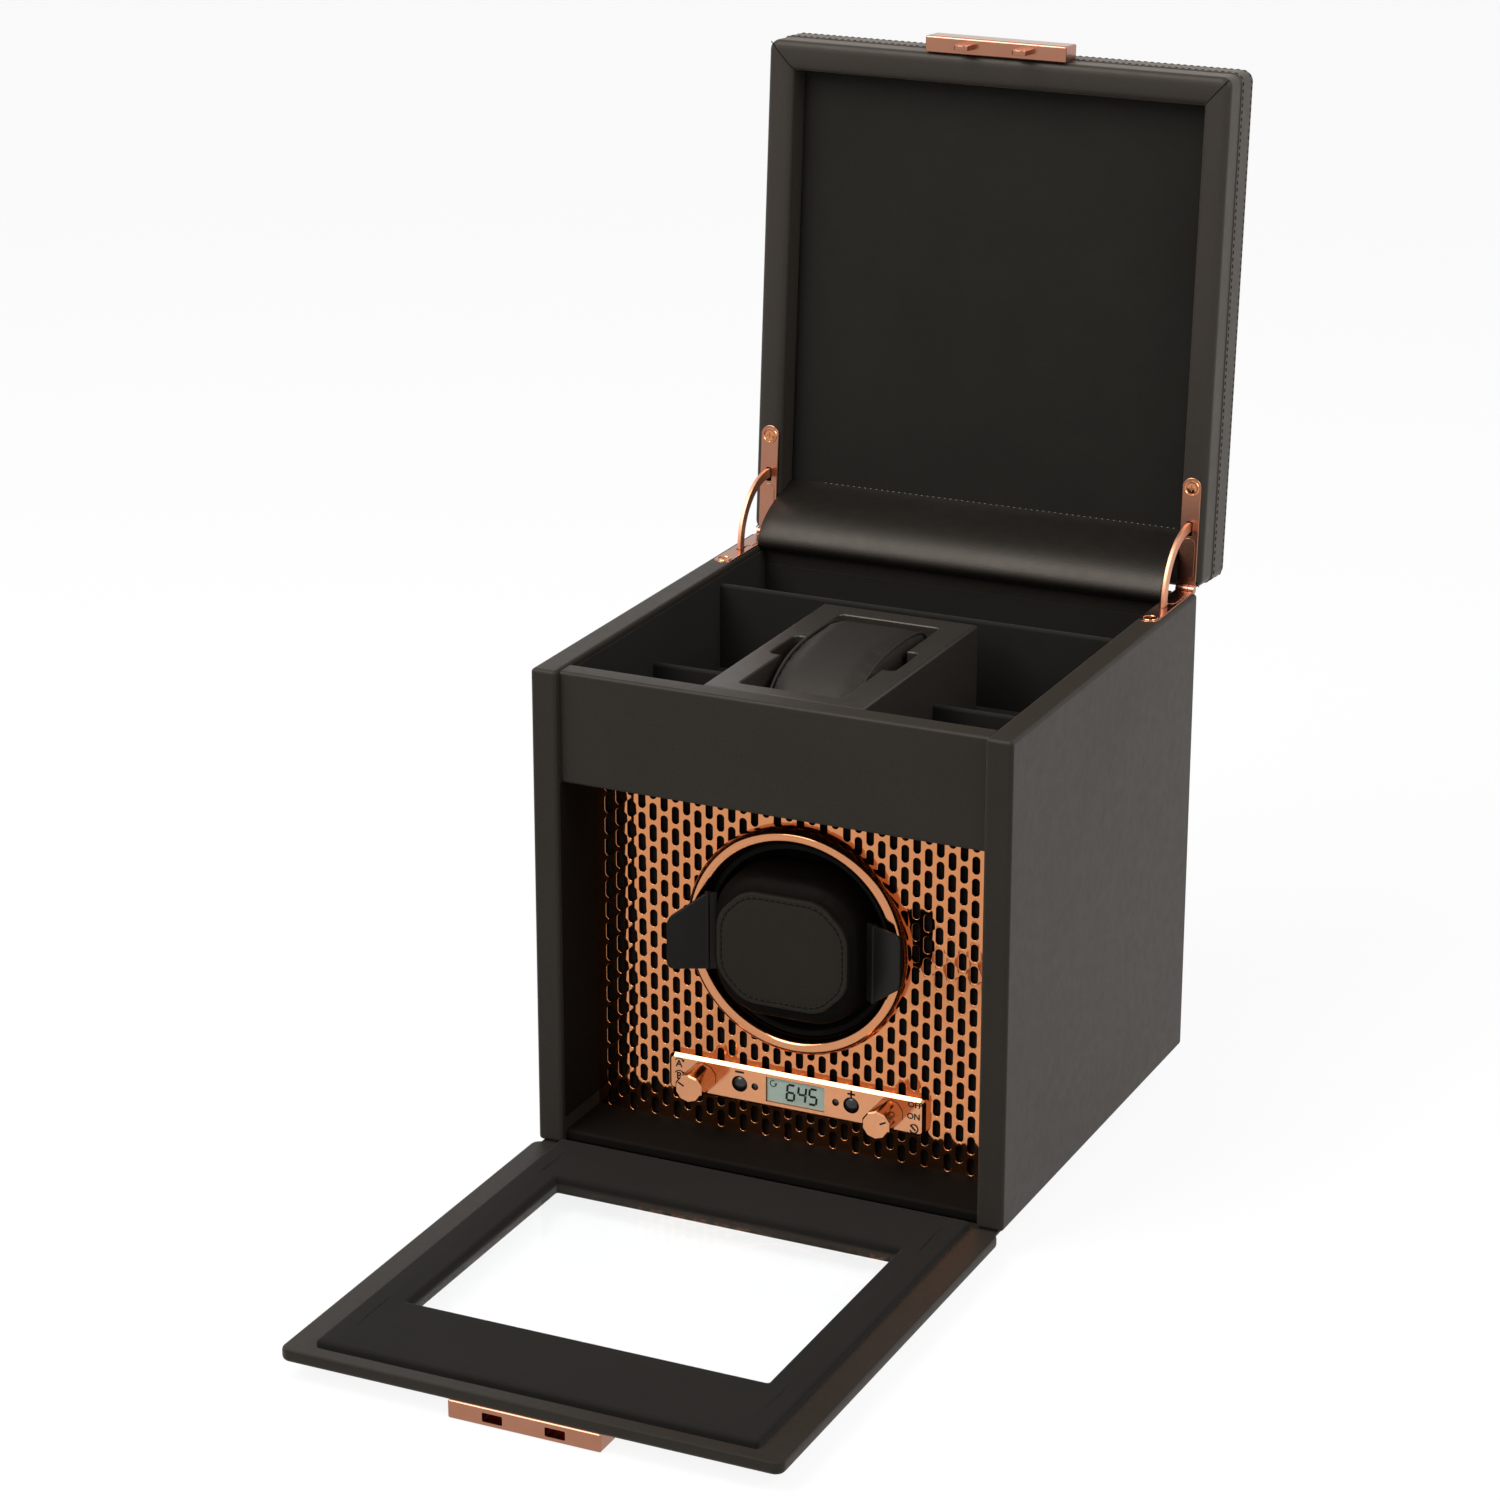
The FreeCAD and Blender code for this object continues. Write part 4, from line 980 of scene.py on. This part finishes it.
def door_frame(half, z, corner, outer_steps, inner_steps):
    """An outer set of hoops moved in by steps, and a set round the window moved out by steps."""
    bm = bmesh.new()
    hoops = [hoop(bm, (inset - half, half - inset), (z[0] + inset, z[1] - inset), y, max(0.6, corner - inset), True)
             for inset, y in outer_steps]
    hoops += [hoop(bm, (-WINDOW_X - out, WINDOW_X + out), (WINDOW_Z[0] - out, WINDOW_Z[1] + out), y, 0.8 + out, True)
              for out, y in inner_steps]
    skin(bm, hoops, ring=True)
    return bm


BOARD_OUTER = [(1.6, -105.3), (0.7, -105.05), (0.2, -104.5), (0, -103.7), (0, -101.4), (0.3, -100.6), (1.1, -100.3)]
BOARD_INNER = [(1.0, -100.3), (0.3, -100.6), (0, -101.3), (0, -104.3), (0.3, -105.0), (1.0, -105.3)]
bm = door_frame(100.0, (0.5, 198.3), 4.0, BOARD_OUTER, BOARD_INNER)
piece("door_leather", bm, leather, "door", "leather", ["door_board"])

PAD = [(0, -100.3), (0, -98.7), (0.25, -97.95), (0.85, -97.45), (1.7, -97.3), (8, -97.15)]
bm = door_frame(88.2, (0.8, 192.0), 1.6, PAD, PAD[::-1])
piece("door_suede_frame", bm, pad_suede, "door", "suede", ["door_pad"])

bm = block((-75.5, 75.5), (-103.3, -101.3), (31, 153.5))
soften(bm, bm.edges, 0.2, 2)
piece("door_clear_sheet", bm, clear_pane, "door", "clear_pane", ["door_window"])

# %% [markdown]
# ## What the copper mirrors
# In the photograph the polished panel shows the white floor as far down as the case's own floor, and not the open
# door. The door's pieces are therefore left out of reflections, and stay visible in every other way.

# %% Door left out of reflections
UNMIRRORED = ("door_leather", "door_suede_frame", "door_clear_sheet")
for name in UNMIRRORED:
    bpy.data.objects[name].visible_glossy = False
print("pieces left out of reflections:", len(UNMIRRORED))

# %% [markdown]
# ## The clasp
# Two plated bars meet when the box is shut. The upper one has two hooks that drop into slots in the lower one.
# Each bar is a bevelled block, and the slots are cut after the bevel so that their edges stay crisp.

# %% Clasp bars
CLASP_X = (-30.5, 30.5)
HOOKS_X = (-12.5, 12.5)
bm = block(CLASP_X, (-112.1, -105.4), (199.6, 211.6))
soften(bm, bm.edges, 0.8)
for x in HOOKS_X:
    hook = block((x - 3.25, x + 3.25), (-109.8, -107.8), (192.6, 200.6))
    soften(hook, along(hook, 1, lambda m: m.z < 194), 2.4, 6)
    soften(hook, [e for e in sharp(hook, 0.8) if all(v.co.z < 200 for v in e.verts)], 0.25, 2)
    combine(bm, hook, "UNION")
piece("lid_clasp_bar", bm, fitting_copper_painted_dark, "lid", "copper", ["lid_clasp"])

bm = block(CLASP_X, (-112.3, -105.1), (186.3, 198.3))
soften(bm, bm.edges, 0.8)
for x in HOOKS_X:
    slot = block((x - 4.05, x + 4.05), (-110.6, -107.0), (190.5, 202))
    soften(slot, along(slot, 2), 0.5, 3)
    combine(bm, slot)
piece("door_clasp_bar", bm, fitting_copper_painted_dark, "door", "copper", ["door_clasp"])

# %% [markdown]
# ## The slotted grille
# The grille is a polished plate punched with staggered slots. Cutting hundreds of holes with Booleans is slow and
# leaves untidy faces. Here one slot is made as stacked loops, a bright bevel and a dark wall, copied to each
# place, and the plate between the loops is filled in one go with triangle_fill, which leaves holes open.

# %% Grille plate and its dark backing
WINDER_Z, STRIP_Z = 92.0, 27.3
COLUMN, ROW = 4.9, 9.0
FIRST_Z = 40.3


def slot_places():
    for i in range(-18, 19):
        for j in range(-22, 23):
            x, z = i * COLUMN, FIRST_Z + (j + (i % 2) / 2) * ROW
            inside = abs(x) + 2.55 < INSIDE and 8.5 < z < 147.9
            off_drum = x * x + (z - WINDER_Z) ** 2 > 46.1 ** 2
            off_strip = abs(x) > 51.1 or abs(z - STRIP_Z) > 8.4
            if inside and off_drum and off_strip:
                yield x, z


def circle(bm, sides, radius, y, z=0.0, turn=0.0):
    """A circle of points that faces the front."""
    upright = Matrix.Rotation(math.pi / 2, 4, "X") @ Matrix.Rotation(turn, 4, "Z")
    matrix = Matrix.Translation((0, y, z)) @ upright
    return bmesh.ops.create_circle(bm, segments=sides, radius=radius, matrix=matrix)["verts"]


def edges_of(verts):
    return list({e for v in verts for e in v.link_edges})


def slot_loop(bm, radius, y):
    """A slot outline with round ends: a circle whose halves are drawn apart."""
    verts = circle(bm, 16, radius, y, turn=math.pi / 16)
    for half in (-1, 1):
        bmesh.ops.translate(bm, vec=(0, 0, half * 2.05), verts=[v for v in verts if v.co.z * half > 0])
    return edges_of(verts)


slot_bm = bmesh.new()
SLOT_STEPS = ((1.75, 0), (1.6, 0.1), (1.52, 0.3), (1.52, 2))
loops = [slot_loop(slot_bm, radius, FACE_Y + depth) for radius, depth in SLOT_STEPS]
for first, second in zip(loops, loops[1:]):
    bmesh.ops.bridge_loops(slot_bm, edges=first + second)
slot_mesh = as_mesh("slot", slot_bm)
slot_bm.free()


def plate_outline(bm, y):
    """The plate's edge, the drum's hole and the opening behind the control strip."""
    edges = hoop(bm, (-INSIDE, INSIDE), (4.6, GRILLE_TOP), y, 0, upright=True)
    edges += hoop(bm, (-48, 48), (STRIP_Z - 4.3, STRIP_Z + 4.3), y, 0, upright=True)
    return edges + edges_of(circle(bm, 96, 41.5, y, WINDER_Z))


def fill(bm, edges):
    bmesh.ops.triangle_fill(bm, use_beauty=True, use_dissolve=False, edges=edges, normal=(0, -1, 0))


bm = bmesh.new()
plate_outline(bm, FACE_Y)
for x, z in slot_places():
    count = len(bm.verts)
    bm.from_mesh(slot_mesh)
    bm.verts.ensure_lookup_table()
    bmesh.ops.translate(bm, vec=(x, 0, z), verts=bm.verts[count:])
fill(bm, on_plane(bm, 1, FACE_Y))
piece("copper_grille", bm, copper, "case", "copper", ["grille_panel"])

bm = bmesh.new()
for depth in (2.2, 4.2):
    fill(bm, plate_outline(bm, FACE_Y + depth))
piece("grille_backing", bm, slot_black, "case", "inner_plastic")

# %% [markdown]
# ## Ring and drum
# A polished round-fronted ring frames the drum, and the cuff sits in a black cup behind it. Both are turned shapes.
# The ring starts as a full oval that is spun round the drum's axis, and its rear half is buried.

# %% Bezel ring and drum cup
FULLNESS = 0.85
bm = bmesh.new()
oval = bmesh.ops.create_circle(bm, segments=28, radius=1.0)["verts"]
for vert in oval:
    vert.co = [math.copysign(abs(c) ** FULLNESS, c) for c in vert.co]
bmesh.ops.scale(bm, vec=(3.6, 6.4, 1), verts=oval)
bmesh.ops.translate(bm, vec=(43.8, FACE_Y, WINDER_Z), verts=oval)
bmesh.ops.spin(bm, geom=bm.verts[:] + bm.edges[:], cent=(0, 0, WINDER_Z), axis=(0, 1, 0), angle=math.tau, steps=128,
               use_merge=True)
merge(bm)
piece("copper_ring", bm, ring_copper, "case", "copper", ["drum_bezel"])

CUP = [(0, -56), (35.5, -56), (36.9, -56.5), (37.5, -58), (37.5, -69.0), (37.9, -69.5), (39.6, -69.5), (40, -69.1),
       (40, -46), (0, -46)]
piece("drum_well", turned(CUP, (0, WINDER_Z), 96), slot_black, "drum", "black_plastic", ["drum_cup"])

# %% [markdown]
# ## The cuff
# The watch closes round a soft cuff that is pinched by two ears to go in and out of a strap. Its body is a cushion
# with large round corners, swollen as the pillow was. A bare octagonal patch is sewn to its front.

# %% Cuff cushion and patch
CUFF_STEPS = ((3, -57), (0.9, -57.8), (0.3, -59.5), (0.3, -78), (1.2, -80.8), (3.2, -82.6), (6, -83.2))
bm = bmesh.new()
skin(bm, [hoop(bm, (inset - 32.5, 32.5 - inset), (61 + inset, 123 - inset), y, 22 - inset, upright=True, steps=8)
          for inset, y in CUFF_STEPS])
swell(bm, 0.7)
cuff = piece("cuff_cushion", bm, cuff_leather, "cuff", "cuff_leather", ["cuff_body"])


def patch_range(inset):
    """The patch's outline in x and z, and the cut of its corners, moved in."""
    return (inset - 28, 28 - inset), (69 + inset, 115.6 - inset), 11.5 - inset * 0.58


PATCH_STEPS = ((0, -82.6), (0, -84.7), (0.2, -85.2), (0.7, -85.45), (1.5, -85.5), (1.9, -85.3), (2.5, -85.3),
               (2.9, -85.5), (6, -85.65))
hoops = []
bm = bmesh.new()
for inset, y in PATCH_STEPS:
    x, z, cut = patch_range(inset)
    hoops.append(hoop(bm, x, z, y, 5, upright=True, cut=cut, steps=4))
skin(bm, hoops)
piece("cuff_patch_leather", bm, patch_leather, "cuff", "cuff_leather", ["cuff_patch"])

FRONT = Vector((0, -1, 0))
x, z, cut = patch_range(2.2)
around = [(p.x, -85.3, p.y) for p in outline(x, z, 5, cut=cut, steps=4)]
# A black cord in the groove along the stitch line: painted shade of the groove and the stitch holes.
piece("cuff_patch_groove_shade", cord_mesh(around, 0.3), thread_black, "cuff", "cuff_leather")
bm = stitches(around, lambda way: FRONT, pitch=2.6, length=1.6, width=0.9)
piece("cuff_patch_stitches", bm, thread_dark, "cuff", "cuff_leather")

# %% [markdown]
# ## Pinch ears
# The ears are thin plates on upright pivots at the cuff's sides. One is the other turned half round the drum's
# axis. The outline is five points, its two outer corners are rounded, and a soft bevel runs round the plate.

# %% Ears
EAR_ROOT, EAR_REACH = -4.0, 16.2
EAR_FOOT, EAR_HEAD = -15.2, 17.0
EAR_TURN = math.radians(26.5)
EAR_PLACE = Matrix.Translation((-35.5, -77, WINDER_Z)) @ Matrix.Rotation(EAR_TURN, 4, "Z")
HALF_TURN = (Matrix.Translation((0, 0, WINDER_Z)) @ Matrix.Rotation(math.pi, 4, "Y")
             @ Matrix.Translation((0, 0, -WINDER_Z)))
for side in ("left", "right"):
    bm = bmesh.new()
    spots = [(EAR_ROOT, EAR_FOOT), (EAR_REACH, EAR_FOOT), (EAR_REACH, 5.9), (0.0, EAR_HEAD), (EAR_ROOT, EAR_HEAD)]
    verts = [bm.verts.new((x, -0.9, z)) for x, z in spots]
    bm.faces.new(verts)
    soften(bm, verts[1:3], 3.0, 6, "VERTICES")
    push(bm, bmesh.ops.extrude_face_region(bm, geom=bm.faces[:]), (0, 1.8, 0))
    bmesh.ops.recalc_face_normals(bm, faces=bm.faces[:])
    soften(bm, sharp(bm, 1), 0.55, 3)
    combine(bm, rod(1.2, 2, (EAR_FOOT, EAR_HEAD), (0, 0), 24), "UNION")
    bm.transform(EAR_PLACE @ Matrix.Scale(-1, 4, (1, 0, 0)))
    if side == "right":
        bm.transform(HALF_TURN)
    piece(f"ear_plate_{side}", bm, satin_black, f"{side}_ear", "black_plastic", [f"cuff_ear_{side}"])

# %% [markdown]
# ## Control strip
# A plated strip carries a display, two buttons, two knobs and two dark indicator holes. The bar is bevelled
# first, so that its long edges catch the light, and then everything that passes through it is cut in one step.

# %% Strip
STRIP_FACE = -72.0
THROUGH = (-80, -60)
BUTTON_X, KNOB_X, LIGHT_X = 24.2, 40.4, 17.5
bm = block((-55.6, 55.6), (STRIP_FACE, FACE_Y + 0.4), (19.4, 35.2))
soften(bm, along(bm, 1), 2.5, 6)
soften(bm, on_plane(bm, 1, STRIP_FACE), 1.3, 1)
holes = [block((-12.7, 12.7), THROUGH, (STRIP_Z - 5.3, STRIP_Z + 5.3))]
for sign in (-1, 1):
    holes.append(rod(3.4, 1, THROUGH, (sign * BUTTON_X, STRIP_Z)))
    holes.append(rod(2.65, 1, THROUGH, (sign * KNOB_X, STRIP_Z)))
    holes.append(rod(1.5, 1, (-80, -70.6), (sign * LIGHT_X, STRIP_Z), 24))
combine(bm, gather(holes))
piece("copper_strip", bm, satin_copper, "case", "copper", ["control_strip"])

LENS = [(0, -71.8), (0.8, -71.7), (1.3, -71.3), (1.48, -70.7), (1.48, -70.5), (0, -70.5)]
lenses = gather(turned(LENS, (sign * LIGHT_X, STRIP_Z), 24) for sign in (-1, 1))
piece("indicator_lenses", lenses, gloss_black, "case", "black_plastic")

# %% Buttons and knobs
DOME = [(0, -72.6), (1.2, -72.5), (2.2, -72.2), (2.85, -71.7), (3.1, -71.0), (3.1, -68.2), (3.9, -68.0),
        (3.9, -66.7), (0, -66.7)]
for name, sign in (("minus", -1), ("plus", 1)):
    cap = turned(DOME, (sign * BUTTON_X, STRIP_Z), 40)
    piece(f"{name}_button_cap", cap, gloss_black, f"{name}_button", "black_plastic", [f"{name}_button"])

FACETS = 10
for name, sign, pointer in (("mode", -1, 152), ("power", 1, 27)):
    centre = (sign * KNOB_X, STRIP_Z)
    bm = rod(6.0, 1, (-85.5, -72.3), centre, FACETS)
    soften(bm, [e for e in bm.edges if all(v.co.y < -85 for v in e.verts)], 0.6, 1)
    soften(bm, along(bm, 1), 0.18, 2)
    combine(bm, rod(2.6, 1, (-74, -62), centre), "UNION")
    piece(f"{name}_knob_cap", bm, satin_copper, f"{name}_knob", "copper", [f"{name}_knob"], crease=12)
    mark = block((2.1, 4.9), (-85.56, -85.4), (-0.36, 0.36))
    mark.transform(Matrix.Translation((centre[0], 0, STRIP_Z)) @ Matrix.Rotation(math.radians(-pointer), 4, "Y"))
    piece(f"{name}_knob_mark", mark, ink, f"{name}_knob", "black_plastic")

# %% [markdown]
# ## Display and printed marks
# The display shows three seven-bar digits and a small turning arrow. Each digit is a set of thin bars switched on
# or off. The marks on the strip are plain text and arcs, made into thin meshes and laid on the metal.

# %% Display
bm = block((-12.65, 12.65), (STRIP_FACE + 0.8, -60), (STRIP_Z - 5.25, STRIP_Z + 5.25))
soften(bm, bm.edges, 0.15, 2)
piece("display_glass", bm, display, "case", "display", ["lcd_display"])


def tile(x, y, z, wide, tall):
    """A thin block about a place, of given half sizes."""
    return block((x - wide, x + wide), y, (z - tall, z + tall))


BARS = {"a": (0, 2), "g": (0, 0), "d": (0, -2), "f": (-1, 1), "b": (1, 1), "e": (-1, -1), "c": (1, -1)}
DIGITS = {"6": "afgedc", "4": "fgbc", "5": "afgcd"}
DIGIT_FACE = (STRIP_FACE + 0.72, STRIP_FACE + 0.85)
SLANT = Matrix(((1, 0, 0.09, 0), (0, 1, 0, 0), (0, 0, 1, 0), (0, 0, 0, 1)))
bars = []
for figure, x in zip("645", (-2.2, 2.6, 7.4)):
    for right, high in (BARS[bar] for bar in DIGITS[figure]):
        half = (1.3, 0.45) if right == 0 else (0.45, 1.4)
        bars.append(tile(x + right * 1.6, DIGIT_FACE, high * 1.65, *half))
bm = gather(bars)
bm.transform(Matrix.Translation((0, 0, STRIP_Z)) @ SLANT)
piece("display_digits", bm, ink, "case", "black_plastic")

# %% Arrows, words and signs
INK_Y = STRIP_FACE - 0.02
ARC_STEPS = 16


def arc_arrow(centre, radius, start, sweep, y, head, thick):
    """A thin arc in x and z with an arrow head at its end."""
    angles = [math.radians(start + sweep * i / ARC_STEPS) for i in range(ARC_STEPS + 1)]
    points = [(centre[0] + radius * math.cos(a), y, centre[1] + radius * math.sin(a)) for a in angles]
    tip = bmesh.new()
    bmesh.ops.create_cone(tip, cap_ends=True, segments=3, radius1=head, radius2=head, depth=thick * 2)
    heading = -angles[-1] - math.copysign(math.pi / 2, sweep)
    tip.transform(Matrix.Translation(points[-1]) @ Matrix.Rotation(heading, 4, "Y")
                  @ Matrix.Rotation(math.pi / 2, 4, "X"))
    return [cord_mesh(points, thick), tip]


def words(text, size, x, z):
    """Upright text on the strip, made a mesh before it is placed."""
    curve = bpy.data.curves.new("words", "FONT")
    settings = {"body": text, "size": size, "align_x": "CENTER", "align_y": "CENTER", "extrude": 0.04,
                "offset": 0.1, "resolution_u": 3}
    for key, value in settings.items():
        setattr(curve, key, value)
    bm = meshed(curve)
    bm.transform(Matrix.Translation((x, INK_Y, z)) @ Matrix.Rotation(math.pi / 2, 4, "X"))
    return bm


marks = [words("A", 4.2, -50.9, 31.0), words("B", 4.2, -50.9, 25.7), words("OFF", 3.5, 51.4, 32.6),
         words("ON", 3.5, 50.8, 27.6)]
for x, z, *half in ((-BUTTON_X, 32.4, 1.9, 0.42), (BUTTON_X, 32.1, 1.65, 0.4), (BUTTON_X, 32.1, 0.4, 1.65)):
    marks.append(tile(x, (STRIP_FACE - 0.06, STRIP_FACE + 0.02), z, *half))
for z in (31.2, 25.9):
    marks += arc_arrow((-50.7, z), 2.2, 150, -110, INK_Y, 0.7, 0.22)
marks += arc_arrow((50.9, 22.5), 1.8, 130, -280, INK_Y, 0.01, 0.3)
marks.append(cord_mesh([(49.5, INK_Y, 23.9), (51.7, INK_Y, 21.7)], 0.36))
piece("strip_marks", gather(marks), ink, "case", "black_plastic")
arrow = arc_arrow((-9.9, STRIP_Z + 2.6), 1.25, 60, 300, STRIP_FACE + 0.75, 0.6, 0.16)
piece("display_arrow", gather(arrow), ink, "case", "black_plastic")

# %% [markdown]
# ## Parts that stay as they were packed
# The plinth, its felt and everything behind the grille already have the right shape, so they only need a finish.
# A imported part's mesh is left alone, and the finish goes into its material slots.

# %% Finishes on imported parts
KEPT = {"base_plinth": board_black, "base_felt": felt, "gear_motor": steel, "drum_shaft": steel}
for node in ("motor_plate", "motor_posts", "control_board", "tact_switch_left", "tact_switch_right",
             "rotary_switch_left", "rotary_switch_right"):
    KEPT[node] = inner_plastic
for node, material in KEPT.items():
    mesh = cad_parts[node].data
    mesh.materials.clear()
    mesh.materials.append(material)
print("finished packed parts:", len(KEPT))
